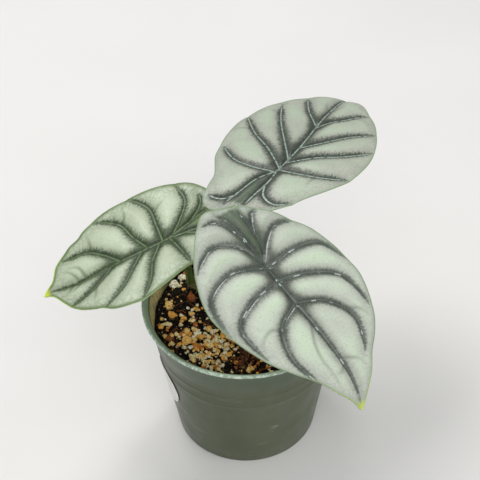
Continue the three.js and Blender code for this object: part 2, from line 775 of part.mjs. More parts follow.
function makeCrown() {
  const body = turned(crownProfile(0), CROWN_SIDES);
  body.translate(CROWN_PLACE.x, CROWN_PLACE.y, 0);
  let crown = toSolid(body);
  for (const stalk of STALKS) {
    crown = crown.subtract(toSolid(stalkGeometry(stalk, RUNNING_GAP)));
  }
  return piece("crown", toGeometry(crown), CROWN_SKIN);
}

// Repeatable random numbers between 0 and 1.
function seeded(seed) {
  let state = seed;
  return () => {
    state = (state * 1664525 + 1013904223) % 4294967296;
    return state / 4294967296;
  };
}

const group = new THREE.Group();
group.add(makePot(), makeLabel(), makeSoil(seeded(GRAIN_SEED)), makeCrown());
for (const stalk of STALKS) {
  group.add(makeStalk(stalk));
}
for (const leaf of LEAVES) {
  group.add(makeLeaf(leaf));
}

export default group;
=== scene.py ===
# %% [markdown]
# # A potted silver dragon alocasia
# This lesson dresses a small aroid house plant: three silver leaves with dark sunken veins, on slim
# stalks, in a round green nursery pot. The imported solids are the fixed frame. Each of them gets a finer
# visible piece in the same place, and every surface gets a procedural finish.
# Working sizes are in millimetres, because that is how the plant was measured. They are turned into
# metres at the moment when a piece is finished.

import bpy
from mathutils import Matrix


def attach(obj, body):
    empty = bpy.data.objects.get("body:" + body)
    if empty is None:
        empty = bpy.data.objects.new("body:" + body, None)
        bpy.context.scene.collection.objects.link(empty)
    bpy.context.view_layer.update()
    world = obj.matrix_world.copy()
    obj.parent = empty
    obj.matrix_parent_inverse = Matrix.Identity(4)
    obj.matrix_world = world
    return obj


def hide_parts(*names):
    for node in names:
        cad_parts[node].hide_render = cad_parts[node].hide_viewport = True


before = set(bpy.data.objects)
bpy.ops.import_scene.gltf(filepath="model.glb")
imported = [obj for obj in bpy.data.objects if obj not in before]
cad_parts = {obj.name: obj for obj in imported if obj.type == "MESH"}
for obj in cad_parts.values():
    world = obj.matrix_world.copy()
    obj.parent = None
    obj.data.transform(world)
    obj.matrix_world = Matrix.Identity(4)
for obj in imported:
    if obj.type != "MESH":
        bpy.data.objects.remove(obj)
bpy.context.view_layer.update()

import math
import random

import bmesh
import bpy
import numpy as np
from mathutils import Matrix, Vector, noise

MM = 0.001
print("Frame nodes:", ", ".join(sorted(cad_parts)))

# %% [markdown]
# ## Camera
# A long lens about 70 cm away looks down at the pot by about 43 degrees. The numbers come from
# fitting the rim and the foot of a round nursery pot to the ellipses that they make in the picture.

# %% Camera
CAMERA_PLACE = (-1.63, -460.76, 561.9)
CAMERA_PITCH = math.radians(43.34)
CAMERA_ROLL = math.radians(-1.27)
CAMERA_LENS = 97.5

camera = bpy.data.objects.new("camera", bpy.data.cameras.new("camera"))
camera.data.lens = CAMERA_LENS
camera.data.sensor_width = 36
forward = Vector((0, math.cos(CAMERA_PITCH), -math.sin(CAMERA_PITCH)))
level = Vector((1, 0, 0))
upright = level.cross(forward)
right = level * math.cos(CAMERA_ROLL) + upright * math.sin(CAMERA_ROLL)
turned = Matrix((right, right.cross(forward), -forward)).transposed()
camera.matrix_world = Matrix.Translation(Vector(CAMERA_PLACE) * MM) @ turned.to_4x4()
bpy.context.scene.collection.objects.link(camera)
bpy.context.scene.camera = camera
print("Camera looks down", round(math.degrees(CAMERA_PITCH)), "degrees")

# %% [markdown]
# ## Short ways to build a material
# A shader is a tree of nodes. These helpers add a node, fill its sockets and join it in one line, so
# that each material below reads as a recipe. A socket may be given a number, another node's output or a
# colour. Colours are written as judged, from 0 to 255, and become linear at the socket.

# %% Shader helpers
def linear(red, green, blue):
    """A colour judged on the 0 to 255 scale, as the linear values that shaders mix."""
    def channel(value):
        value /= 255
        return value / 12.92 if value <= 0.04045 else ((value + 0.055) / 1.055) ** 2.4
    return (channel(red), channel(green), channel(blue), 1)


class Recipe:
    """Adds joined nodes to one node tree."""

    def __init__(self, tree):
        self.tree = tree

    def set(self, socket, value):
        if isinstance(value, bpy.types.NodeSocket):
            self.tree.links.new(value, socket)
        else:
            socket.default_value = linear(*value) if socket.type == "RGBA" else value

    def fill(self, node, inputs):
        for key, value in inputs.items():
            self.set(node.inputs[key], value)

    def add(self, kind, inputs=None, **settings):
        node = self.tree.nodes.new(kind if kind.startswith("Node") else "ShaderNode" + kind)
        for name, value in settings.items():
            setattr(node, name, value)
        self.fill(node, inputs or {})
        return node

    def math(self, operation, first, second=0.0):
        return self.add("Math", {0: first, 1: second}, operation=operation).outputs[0]

    def times(self, first, *others):
        for other in others:
            first = self.math("MULTIPLY", first, other)
        return first

    def fade(self, value, low, high, out_low=0.0, out_high=1.0):
        """A smooth change from out_low where value is low to out_high where it is high."""
        if low > high:
            low, high, out_low, out_high = high, low, out_high, out_low
        inputs = {0: value, 1: low, 2: high, 3: out_low, 4: out_high}
        return self.add("MapRange", inputs, interpolation_type="SMOOTHSTEP").outputs[0]

    def between(self, factor, first, second):
        """A number that goes from the first to the second."""
        return self.add("Mix", {0: factor, 2: first, 3: second}, data_type="FLOAT").outputs[0]

    def mix(self, factor, first, second):
        """A colour that goes from the first to the second."""
        return self.add("Mix", {0: factor, 6: first, 7: second}, data_type="RGBA").outputs[2]

    def tint(self, colour, other, *masks):
        """The colour, turned to the other one where all the masks are high."""
        return self.mix(self.times(*masks), colour, other)

    def noise(self, vector, scale, detail=2.0, roughness=0.5, distortion=0.0):
        return self.add("TexNoise", {
            "Vector": vector, "Scale": scale, "Detail": detail, "Roughness": roughness,
            "Distortion": distortion,
        }).outputs["Fac"]

    def place(self):
        """The place on the piece, in metres."""
        return self.add("TexCoord").outputs["Object"]

    def stretched(self, vector, scale):
        """A vector that draws a pattern out along its parts with a small scale."""
        return self.add("Mapping", {"Vector": vector, "Scale": scale}).outputs[0]

    def plane(self, x, y=0.0):
        return self.add("CombineXYZ", {"X": x, "Y": y}).outputs[0]

    def attribute(self, name):
        return self.add("Attribute", attribute_name=name).outputs["Fac"]

    def group(self, tree, inputs):
        return self.add("Group", inputs, node_tree=tree).outputs


def new_group(name, inputs, outputs):
    """A node group with its recipe, its input sockets and its output node."""
    tree = bpy.data.node_groups.new(name, "ShaderNodeTree")
    for way, sockets in (("INPUT", inputs), ("OUTPUT", outputs)):
        for socket, kind in sockets.items():
            tree.interface.new_socket(socket, in_out=way, socket_type="NodeSocket" + kind)
    recipe = Recipe(tree)
    return tree, recipe, recipe.add("NodeGroupInput").outputs, recipe.add("NodeGroupOutput")


def new_material(name):
    """A material with its recipe and its Principled shader."""
    material = bpy.data.materials.new(name)
    material.use_nodes = True
    return material, Recipe(material.node_tree), material.node_tree.nodes["Principled BSDF"]


print("A grey judged 128 is", round(linear(128, 128, 128)[0], 3), "when linear")

# %% [markdown]
# ## Effects that most finishes share
# Three effects return in most finishes, so each is a node group with named sockets, and a short function
# places it with its own values. Blotches wander between two colours. Fine grain turns a noise into a
# shallow bump. Scuffs are short level rubs, as on handled plastic and paper: the middle line of one
# noise, drawn out level and kept only where a second noise is high.

# %% Blotches, grain and scuffs
def make_blotches():
    tree, recipe, given, out = new_group(
        "Blotches",
        {"Place": "Vector", "Scale": "Float", "First": "Color", "Second": "Color"},
        {"Colour": "Color"},
    )
    wander = recipe.noise(given["Place"], given["Scale"], detail=4, distortion=0.4)
    colour = recipe.mix(recipe.fade(wander, 0.36, 0.64), given["First"], given["Second"])
    recipe.fill(out, {"Colour": colour})
    return tree


def make_fine_grain():
    tree, recipe, given, out = new_group(
        "Fine grain",
        {"Place": "Vector", "Scale": "Float", "Depth": "Float"},
        {"Normal": "Vector"},
    )
    height = recipe.noise(given["Place"], given["Scale"], detail=5, roughness=0.6)
    bump = recipe.add("Bump", {"Height": height, "Strength": 1.0, "Distance": given["Depth"]})
    recipe.fill(out, {"Normal": bump.outputs["Normal"]})
    return tree


def make_scuffs():
    tree, recipe, given, out = new_group(
        "Scuffs",
        {"Place": "Vector", "Scale": "Float", "Amount": "Float"},
        {"Mask": "Float"},
    )
    level = recipe.stretched(given["Place"], (0.5, 0.5, 4))
    line = recipe.noise(level, given["Scale"], detail=1, distortion=0.3)
    near = recipe.math("ABSOLUTE", recipe.math("SUBTRACT", line, 0.5))
    patch = recipe.noise(given["Place"], recipe.times(given["Scale"], 2.2), detail=3)
    mask = recipe.times(recipe.fade(near, 0.02, 0.0), recipe.fade(patch, 0.56, 0.68), given["Amount"])
    recipe.fill(out, {"Mask": mask})
    return tree


BLOTCHES = make_blotches()
FINE_GRAIN = make_fine_grain()
SCUFFS = make_scuffs()


def blotches(recipe, place, scale, first, second):
    inputs = {"Place": place, "Scale": scale, "First": first, "Second": second}
    return recipe.group(BLOTCHES, inputs)["Colour"]


def fine_grain(recipe, place, scale, depth):
    return recipe.group(FINE_GRAIN, {"Place": place, "Scale": scale, "Depth": depth})["Normal"]


def scuffs(recipe, place, scale, amount):
    return recipe.group(SCUFFS, {"Place": place, "Scale": scale, "Amount": amount})["Mask"]


print("Effect groups:", ", ".join(group.name for group in bpy.data.node_groups))

# %% [markdown]
# ## Vein ink
# Vein ink is the dark feathered stain along a leaf vein. Its edge frays into short strokes square to the
# vein, because the finest side veins carry the dark tissue out into the silver. The group reads fields
# that the mesh will carry: how far off the vein is, and how far along it. A noise over those two is drawn
# out square to the vein, and moves the edge of the stain. The grey halo round it and the dark crooks
# where veins meet fray with it.

# %% Vein ink
def make_vein_ink():
    tree, recipe, given, out = new_group(
        "Vein ink",
        {"Gap": "Float", "Run": "Float", "Away": "Float", "Crowd": "Float", "Feather": "Float"},
        {"Ink": "Float", "Halo": "Float", "Crook": "Float"},
    )
    stroke = recipe.plane(recipe.times(given["Run"], 1.1), recipe.times(given["Away"], 0.45))
    fray = recipe.math("SUBTRACT", recipe.noise(stroke, 1.0, detail=4, roughness=0.75), 0.5)
    frayed = recipe.times(fray, given["Feather"])
    drift = recipe.math("SUBTRACT", recipe.noise(stroke, 0.1, detail=1), 0.5)
    shift = recipe.math("ADD", frayed, recipe.times(drift, 0.5))
    edge = recipe.math("ADD", given["Gap"], shift)
    near = recipe.math("SUBTRACT", given["Crowd"], recipe.times(frayed, 0.25))
    recipe.fill(out, {
        "Ink": recipe.fade(edge, 2.2, 0.45),
        "Halo": recipe.fade(near, 0.0, 1.3),
        "Crook": recipe.fade(near, 0.85, 1.75),
    })
    return tree


VEIN_INK = make_vein_ink()
print("Vein ink puts out:", ", ".join(item.name for item in VEIN_INK.interface.items_tree
                                      if item.in_out == "OUTPUT"))

# %% [markdown]
# ## Floor and light
# The plant stands on a plain pale floor, which lies a hair below zero so that the foot of the pot isn't
# level with it. A soft key lamp stands behind on the left, and a larger one in front fills the leaves. A
# small lamp at the back draws thin bright lines in the sunken veins, where the leaf skin also carries
# painted highlights. One at the right fills that side, and a pale world lifts the shadows. The Standard
# view keeps the colours as they are mixed.

# %% Floor and light
FLOOR_DROP = 0.0002
FLOOR_SIZE = 4


def add_lamp(name, place, target, size, power):
    """A square soft lamp at a place in metres, turned towards a target."""
    lamp = bpy.data.objects.new(name, bpy.data.lights.new(name, "AREA"))
    lamp.data.size = size
    lamp.data.energy = power
    lamp.location = place
    aim = Vector(target) - Vector(place)
    lamp.rotation_euler = aim.to_track_quat("-Z", "Y").to_euler()
    bpy.context.scene.collection.objects.link(lamp)


add_lamp("key", (-0.35, 0.4, 0.95), (0, 0, 0.1), 0.45, 5.2)
add_lamp("front fill", (0.1, -0.9, 0.9), (0, 0, 0.1), 0.9, 6)
add_lamp("glint", (0.12, 0.5, 0.8), (0, 0, 0.12), 0.1, 0.8)
add_lamp("side fill", (0.9, -0.4, 0.5), (0, 0, 0.1), 0.7, 2)

world = bpy.data.worlds.new("pale room")
world.use_nodes = True
background = world.node_tree.nodes["Background"]
background.inputs["Color"].default_value = (0.93, 0.95, 1, 1)
background.inputs["Strength"].default_value = 0.42
bpy.context.scene.world = world
bpy.context.scene.view_settings.view_transform = "Standard"

floor_mesh = bmesh.new()
just_below = Matrix.Translation((0, 0, -FLOOR_DROP))
bmesh.ops.create_grid(floor_mesh, x_segments=1, y_segments=1, size=FLOOR_SIZE, matrix=just_below)
floor_data = bpy.data.meshes.new("floor")
floor_mesh.to_mesh(floor_data)
floor_mesh.free()
floor = bpy.data.objects.new("floor", floor_data)
bpy.context.scene.collection.objects.link(floor)

floor_paint, recipe, shader = new_material("pale floor")
recipe.fill(shader, {
    "Base Color": blotches(recipe, recipe.place(), 3.0, (229, 227, 223), (233, 231, 228)),
    "Roughness": 0.9,
    "Specular IOR Level": 0.1,
})
floor_data.materials.append(floor_paint)

# %% [markdown]
# ## Curves and finished pieces
# Veins and stalks are smooth curves through a few measured points. The spline used here passes through
# every point and takes its speed from the square root of the spacing, which keeps it from looping where
# two points lie close together.

# %% Curve and piece helpers
def curve_through(knots, spacing):
    """Points about the given spacing apart, on a smooth curve through the knots."""
    knots = np.array(knots, float)
    ends = 2 * knots[0] - knots[1], 2 * knots[-1] - knots[-2]
    knots = np.vstack([ends[0], knots, ends[1]])
    points = []
    for before, first, second, after in zip(knots, knots[1:], knots[2:], knots[3:]):
        pairs = (before, first), (first, second), (second, after)
        gaps = [np.linalg.norm(b - a) ** 0.5 for a, b in pairs]
        lead = (first - before) / gaps[0] - (second - before) / (gaps[0] + gaps[1])
        tail = (second - first) / gaps[1] - (after - first) / (gaps[1] + gaps[2])
        lead = (lead + (second - first) / gaps[1]) * gaps[1]
        tail = (tail + (after - second) / gaps[2]) * gaps[1]
        count = max(2, math.ceil(np.linalg.norm(second - first) / spacing))
        t = np.linspace(0, 1, count, endpoint=False)[:, None]
        points.append(
            first + lead * t + (3 * (second - first) - 2 * lead - tail) * t ** 2
            + (lead + tail - 2 * (second - first)) * t ** 3
        )
    return np.vstack([*points, knots[-2:-1]])


def through(knots, at):
    """Smooth values at some places, from (place, value) knots."""
    place, value = np.array(knots, float).T
    at = np.clip(at, place[0], place[-1])
    ahead = np.minimum(np.arange(len(place)) + 1, len(place) - 1)
    behind = np.maximum(np.arange(len(place)) - 1, 0)
    slope = (value[ahead] - value[behind]) / (place[ahead] - place[behind])
    i = np.clip(np.searchsorted(place, at) - 1, 0, len(place) - 2)
    span = place[i + 1] - place[i]
    t = (at - place[i]) / span
    rise = value[i + 1] - value[i]
    lead, tail = slope[i] * span, slope[i + 1] * span
    return value[i] + lead * t + (3 * rise - 2 * lead - tail) * t ** 2 + (lead + tail - 2 * rise) * t ** 3


def finish_piece(bm, name, materials, replaced):
    """Turns a bmesh in millimetres into a smooth piece in metres, on the root body."""
    bmesh.ops.scale(bm, vec=(MM, MM, MM), verts=bm.verts)
    mesh = bpy.data.meshes.new(name)
    bm.to_mesh(mesh)
    bm.free()
    mesh.shade_smooth()
    for material in materials:
        mesh.materials.append(material)
    piece = bpy.data.objects.new(name, mesh)
    bpy.context.scene.collection.objects.link(piece)
    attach(piece, "root")
    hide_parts(*replaced)
    mesh.calc_loop_triangles()
    print(f"{name}: {len(mesh.loop_triangles)} triangles")
    return piece


# %% [markdown]
# ## The leaves as measured
# Each leaf is described flat, in millimetres from the point where its stalk joins: y runs along the
# midrib to the tip and x across. The outline is the reach from that point to the margin at fixed angles
# from the tip. Veins are curves through a few points, thick ones first and thin branches after them. The
# last values bend the flat leaf into its real arch.

# %% Leaf tables
OUTLINE_ANGLES = [0, 4, 8, 15, 25, 35, 45, 60, 75, 90, 105, 120, 135, 150, 165, 180]

LEAVES = {
    "front": {
        "joint": (9.7, -32.3, 141.7), "heading": -54, "slope": 24, "roll": 0,
        "arch": 154, "base_arch": 167, "hook": 154, "hook_start": 70, "cross": 250,
        "bend": [(-36, -0.5), (0, 0), (20, -2), (45, -7), (62, -10), (74, -10), (84, -8)],
        "right": [82, 75, 70, 62, 56, 51.5, 47, 42, 39, 36, 34, 33.5, 34, 36, 38.5, 34.5],
        "left": [82, 75, 70, 62.5, 57.5, 53.5, 49.5, 44.5, 39, 34.5, 31.5, 29.5, 29.5, 30.5, 32.5, 34.5],
        "ribs": [
            [(0, 0), (0.4, -10), (1, -20), (2.6, -28), (4.6, -33)],
            [(0, 0), (-3.6, -5.6), (-5.2, -12), (-5.7, -20), (-5.2, -29)],
        ],
        "veins": [
            [(0.4, -10), (2.4, -20.5), (5.7, -28), (9.5, -31), (14.8, -31.6)],
            [(0.6, -2.3), (6.1, -13.8), (17, -19.1), (28.1, -13.6), (30.2, -11.4)],
            [(0, 1.7), (16.6, -3.8), (32.2, 2.8), (35.9, 19.3), (35.6, 22.4)],
            [(0, 10), (16.6, 12.8), (29.5, 21.1), (30.1, 35.9), (29.4, 39)],
            [(0, 22.5), (13.7, 29.9), (19.8, 43.2), (17.1, 57.8), (16, 61)],
            [(-5.5, -16.5), (-8.2, -22.5), (-10.8, -26), (-14.5, -27)],
            [(-0.6, -0.8), (-7.9, -9.4), (-16.6, -15.2), (-26.8, -13.6), (-28.8, -12)],
            [(0, 2), (-17.1, -0.1), (-31.3, 2.8), (-38.4, 15.5), (-38.8, 18.4)],
            [(0, 9.8), (-15.6, 13.3), (-29.2, 21.7), (-31.6, 37.2), (-31, 40.4)],
            [(0, 22.8), (-13, 28.4), (-20, 41.1), (-15.4, 55.3), (-13.6, 58)],
        ],
        "branches": [
            [(0.4, 34), (6.3, 42.2), (8.8, 51.2), (8.3, 58.5), (7.8, 69.3)],
            [(-0.2, 55), (-4.6, 57.1), (-7.9, 59.7), (-9.4, 63.6)],
            [(12.8, 31.7), (18.6, 28.3), (24.2, 29.9), (29.3, 34.8)],
            [(-19.4, 36.4), (-24.6, 39.6), (-26.8, 45)],
            [(0.4, 59), (4, 60.5), (7.8, 60)],
        ],
        "ink": (1.75, 0.95), "shade_width": 4.1, "puff": 1.7, "sink": 0.9, "channel": 1.0, "waves": [],
    },
    "back": {
        "joint": (17.2, 28.1, 147.5), "heading": 61, "slope": 3, "roll": 4,
        "arch": 400, "base_arch": 83, "hook": 28, "hook_start": 76, "cross": 250,
        "bend": [(-32, -9.5), (-12, -2.5), (0, 0), (25, 1), (60, -1.5), (95, -2)],
        "right": [95, 88, 83, 75.5, 67, 58.5, 51, 42, 36, 31.5, 29, 28.5, 30, 31.8, 33, 29.3],
        "left": [95, 88, 83, 77, 70.5, 63, 57, 47.5, 40, 35, 30.5, 28.5, 30.8, 34.8, 35.8, 29.3],
        "ribs": [
            [(0, 0), (1.8, -9.4), (2.5, -18.9), (3.2, -27)],
            [(0, 0), (-4.6, -9.2), (-5.4, -19.8), (-6.1, -29)],
        ],
        "veins": [
            [(1.9, -12), (7, -19), (15.3, -22.1), (22.3, -18.6)],
            [(0, 0.8), (10.7, 2.2), (21.1, 4.3), (30.9, 8.1), (33.4, 9.4)],
            [(0, 7.5), (11.2, 18.4), (22.5, 26.2), (32.5, 35.4), (34.6, 37.8)],
            [(0, 22.5), (9.8, 34), (19.4, 45.1), (29, 53.4), (31, 55.2)],
            [(0, 44.5), (5, 54.1), (10.2, 59.7), (14.8, 66.4), (20, 71.2)],
            [(-5.5, -23), (-9.1, -26.4), (-12.7, -27.1), (-17, -26.4)],
            [(-0.4, -1.3), (-13.4, -1.4), (-24.8, 1.5), (-34.5, 8.6), (-36.6, 10.8)],
            [(0, 2.4), (-13.7, 15.8), (-27.9, 28.2), (-38.9, 43.3), (-40.2, 46)],
            [(0, 11), (-10.2, 26.7), (-19.2, 43.2), (-26, 60.2), (-26.8, 63)],
            [(0, 46), (-5, 53.5), (-9.6, 60), (-16.1, 72.3), (-17, 75)],
        ],
        "branches": [
            [(12, 62.5), (18.5, 63.5), (25, 61)],
            [(-32, 31.5), (-36, 29.3), (-39.8, 27)],
            [(-22.5, 50), (-27.8, 53.5), (-31.5, 52.3)],
            [(19, 4), (19.2, -1.5), (20.3, -7.2)],
            [(0, 62), (3, 68), (5.5, 75)],
            [(0, 62), (-3, 68), (-5.5, 75)],
        ],
        "ink": (2.35, 1.2), "shade_width": 4.1, "puff": 1.5, "sink": 0.8, "channel": 0.85, "waves": [],
    },
    "left": {
        "joint": (-37.1, 6.1, 124.1), "heading": -166, "slope": 12, "roll": 0,
        "arch": 167, "base_arch": 250, "hook": 167, "hook_start": 60, "cross": -200,
        "bend": [(-25, 6), (0, 0), (12, -1.6), (30, -2.2), (49, -2), (60, 1.5), (66, 4.5), (73, 5.2)],
        "right": [71, 65, 63, 61.5, 57, 51, 46.5, 40.5, 37, 34.5, 33, 32.5, 32, 31.5, 31, 28],
        "left": [71, 65, 62, 58, 51.5, 47.5, 45.5, 39.5, 32, 27.5, 26, 26, 27, 29, 30, 28],
        "ribs": [
            [(0, 0), (1.8, -7.6), (3.8, -15.2), (6, -24)],
            [(0, 0), (-1.2, -5.2), (-2.4, -12), (-4.5, -23)],
        ],
        "veins": [
            [(3.2, -12.6), (8.5, -19), (13.5, -21.5), (18.5, -21)],
            [(0.2, -2.2), (8.4, -8.9), (17.8, -14), (30, -11.6)],
            [(0, 3), (11.9, 3.6), (24.2, 4.7), (34, 11.7), (35.6, 14.6)],
            [(0, 10.8), (11.1, 16.5), (22.6, 21), (30.2, 30.7), (31.2, 34)],
            [(0, 26), (9.4, 33.4), (16.7, 41.8), (18.1, 52.6), (18, 55.4)],
            [(-2, -9), (-6, -14.5), (-11, -18.5), (-16, -19)],
            [(-0.2, -0.6), (-7.4, -3), (-14.5, -4.9), (-23.8, -7.2)],
            [(0, 4.6), (-10.1, 10.6), (-20.8, 13.6), (-30.9, 18.3), (-33.6, 20)],
            [(0, 14.3), (-9.1, 21.4), (-17.7, 27.8), (-24.4, 36.4), (-26, 39.4)],
            [(0, 29.6), (-5.1, 37.4), (-9.4, 45.2), (-12.8, 53.6), (-13.8, 56.6)],
        ],
        "branches": [
            [(0, 49), (4, 50.2), (7.4, 52.4), (9.5, 56)],
            [(0, 48.3), (-3.5, 51.5), (-6.9, 56.3)],
            [(0.4, 44.8), (8.8, 47.8), (11.4, 53.7)],
            [(15.3, 39.6), (20.4, 38.4), (25.4, 38.8)],
            [(21, 20.4), (25.8, 17.4), (32, 17.5)],
            [(19.8, 3.8), (22.2, -0.7), (23.5, -4)],
            [(-8, 41.4), (-14.6, 41.6), (-19.8, 43.6)],
            [(0, 54), (-4.6, 55.4), (-6.5, 60)],
        ],
        "ink": (2.0, 1.0), "shade_width": 3.8, "puff": 1.7, "sink": 0.8, "channel": 0.8,
        "waves": [(-1, 32.8, 4, -1.2), (-1, 22, 5, 0.4), (1, 31.5, 3.4, -1.2), (1, 23, 4, -0.6)],
    },
}
print("Leaves:", ", ".join(LEAVES))

# %% [markdown]
# ## From a flat leaf to a hanging blade
# A leaf hangs in a double curve: the midrib arches down towards the tip, with a tighter hook at the end
# of the back leaf, and the two halves bend down to the sides. Sending flat points through one formula
# bends outline, veins and relief together, and the frame's own solids were bent by the same one.

# %% Blade surface
def leaf_axes(leaf):
    """The directions across the leaf, towards its tip and up out of it."""
    heading, slope = math.radians(leaf["heading"]), math.radians(leaf["slope"])
    flat = Vector((math.cos(heading), math.sin(heading), 0))
    tipward = flat * math.cos(slope) - Vector((0, 0, math.sin(slope)))
    across = Vector((math.sin(heading), -math.cos(heading), 0))
    across.rotate(Matrix.Rotation(-math.radians(leaf["roll"]), 3, tipward))
    return across, tipward, across.cross(tipward)


def on_blade(leaf, x, y, lift):
    """World places of flat points, lifted off the blade by a height."""
    shifted = x + through(leaf["bend"], y)
    arch = np.where(y < 0, 1 / leaf["base_arch"], 1 / leaf["arch"])
    hook = 1 / leaf["hook"]
    plain = np.minimum(y, leaf["hook_start"])
    past = np.maximum(y - leaf["hook_start"], 0)
    start = arch * leaf["hook_start"]
    turn = arch * plain + hook * past
    bent = past > 0
    along = np.sin(arch * plain) / arch + np.where(bent, (np.sin(turn) - np.sin(start)) / hook, 0)
    drop = (np.cos(arch * plain) - 1) / arch + np.where(bent, (np.cos(turn) - np.cos(start)) / hook, 0)
    side = shifted / leaf["cross"]
    out = np.sin(side) * (leaf["cross"] + lift)
    rise = np.cos(side) * (leaf["cross"] + lift) - leaf["cross"]
    local = np.stack([out, along + rise * np.sin(turn), drop + rise * np.cos(turn)], 1)
    return local @ np.array(leaf_axes(leaf)) + np.array(leaf["joint"])


for name, leaf in LEAVES.items():
    tip = on_blade(leaf, np.array([0.0]), np.array([leaf["right"][0]]), 0)[0]
    print(f"The {name} leaf's tip lies at", np.round(tip).astype(int))

# %% [markdown]
# ## Laying a grid over the leaf
# A plain grid is stretched over each flat leaf. Every row runs from the midline to the point that has the
# same share of the margin's length, so rows fan out round the lobes and close in to the tip. The columns
# crowd a little at the margin, where the blade thins to a rounded edge.

# %% Flat grid
COLUMNS = 74
ROWS = 280
MARGIN_CROWD = (0.14, 7)
MARGIN_POINTS = 1441


def nearest(place, line):
    """The number of each place's nearest point of a line, and the way from that point to the place."""
    at = ((line ** 2).sum(1) - 2 * place @ line.T).argmin(1)
    return at, place - line[at]


def margin_of(leaf, side):
    """One side's margin from notch to tip, with the share of its length at each point."""
    angles = np.linspace(180, 0, MARGIN_POINTS)
    reach = through(list(zip(OUTLINE_ANGLES, leaf["right" if side > 0 else "left"])), angles)
    for on, at, spread, amount in leaf["waves"]:
        if on == side:
            reach += amount * np.exp(-((angles - at) / spread) ** 2)
    turn = np.radians(angles)
    line = np.stack([side * reach * np.sin(turn), reach * np.cos(turn)], 1)
    share = np.append(0, np.cumsum(np.linalg.norm(np.diff(line, axis=0), axis=1)))
    return line, share / share[-1]


def lay_flat(leaf, across, along):
    """Flat places of grid points, and how far each lies in from the margin."""
    extra, power = MARGIN_CROWD
    out = np.abs(across) * (1 + extra) - extra * np.abs(across) ** power
    place = np.zeros((len(across), 2))
    rim = np.zeros(len(across))
    midline = -leaf["right"][-1] + along * (leaf["right"][-1] + leaf["right"][0])
    for side in (1, -1):
        on_side = across >= 0 if side > 0 else across < 0
        line, share = margin_of(leaf, side)
        edge = np.stack([np.interp(along[on_side], share, line[:, k]) for k in (0, 1)], 1)
        middle = np.stack([np.zeros(on_side.sum()), midline[on_side]], 1)
        part = out[on_side, None]
        place[on_side] = middle * (1 - part) + edge * part
        off = nearest(place[on_side], line[::3])[1]
        rim[on_side] = np.hypot(off[:, 0], off[:, 1]) * (out[on_side] < 1)
    return place, rim


for name, leaf in LEAVES.items():
    steps = [np.diff(margin_of(leaf, side)[0], axis=0) for side in (1, -1)]
    print(f"Margin round the {name} leaf:", round(sum(np.hypot(*step.T).sum() for step in steps)), "mm")

# %% [markdown]
# ## Reading the veins
# Every grid point looks up the veins round it. It learns how far off the nearest one is, in vein widths
# and in millimetres, on which side of it it lies, how far along it, and how many veins crowd together
# there. Thin branches have a field of their own. Veins narrow and grow faint in their last part, so that
# no end is blunt. The relief and the colours both read these fields: a channel sinks over each vein, the
# panels between puff up, and ribs stand out below.

# %% Vein fields
VEIN_STEP = 0.3
BRANCH_WIDTH = 0.9
BRANCH_DEPTH = 0.22
ENDING_PART = 0.22
FAR_OFF = 12.0
RUN_APART = 60
RIB_SHAPES = {"midrib": (1.1, 1.5), "side": (0.55, 1.1)}
BASE_FADE = {"side": 2.4, "joint": 4, "notch": 3}


def all_veins(leaf):
    """Points along every vein, with its half width, depth and faintness at each of them."""
    tip = leaf["right"][0]
    wide, narrow = leaf["ink"]
    midrib = [(0, 0), (0, tip * 0.35), (0, tip * 0.7), (0, tip - 1)]
    lines = [(midrib, wide, narrow * 0.6, 1.15)]
    lines += [(rib, wide, narrow, 1.0) for rib in leaf["ribs"]]
    lines += [(vein, wide, narrow, 0.9) for vein in leaf["veins"]]
    lines += [(branch, BRANCH_WIDTH, BRANCH_WIDTH, BRANCH_DEPTH) for branch in leaf["branches"]]
    found = []
    for knots, root, end, depth in lines:
        points = curve_through(knots, VEIN_STEP)
        share = np.linspace(0, 1, len(points))
        ending = np.clip((share - (1 - ENDING_PART)) / ENDING_PART, 0, 1) ** 2
        found.append({
            "points": points,
            "along": np.gradient(points, axis=0),
            "width": (root + (end - root) * share) * (1 - 0.35 * ending),
            "depth": depth * (1 - 0.6 * share ** 2),
            "faint": 0.9 * ending,
            "branch": depth == BRANCH_DEPTH,
        })
    return found


def read_veins(leaf, place):
    """Fields over the flat leaf, from its veins."""
    count = len(place)
    gap, away, side = (np.full(count, FAR_OFF) for _ in range(3))
    run, crowd, groove, ridge, branch = (np.zeros(count) for _ in range(5))
    for number, vein in enumerate(all_veins(leaf)):
        at, off = nearest(place, vein["points"])
        distance = np.hypot(off[:, 0], off[:, 1])
        depth = vein["depth"][at]
        near = np.exp(-(distance / vein["width"][at]) ** 2)
        if vein["branch"]:
            branch = np.maximum(branch, near * (depth / BRANCH_DEPTH) ** 2)
        else:
            hand = np.sign(off[:, 0] * vein["along"][at, 1] - off[:, 1] * vein["along"][at, 0])
            scaled = distance / vein["width"][at] + vein["faint"][at]
            closer = scaled < gap
            side[closer] = (distance * hand)[closer]
            run[closer] = RUN_APART * number + VEIN_STEP * at[closer]
            gap[closer] = scaled[closer]
            away = np.minimum(away, distance)
            crowd += depth * np.exp(-(distance / leaf["shade_width"]) ** 2)
        channel = BRANCH_WIDTH if vein["branch"] else leaf["channel"]
        groove = np.maximum(groove, depth * np.exp(-(distance / channel) ** 2))
        rib_depth, rib_width = RIB_SHAPES["side" if number else "midrib"]
        ridge = np.maximum(ridge, rib_depth * depth * np.exp(-(distance / rib_width) ** 2))
    return {
        "vein_gap": gap, "vein_side": side, "vein_run": run, "vein_away": away, "vein_crowd": crowd,
        "branch": branch, "groove": groove, "ridge": ridge,
    }


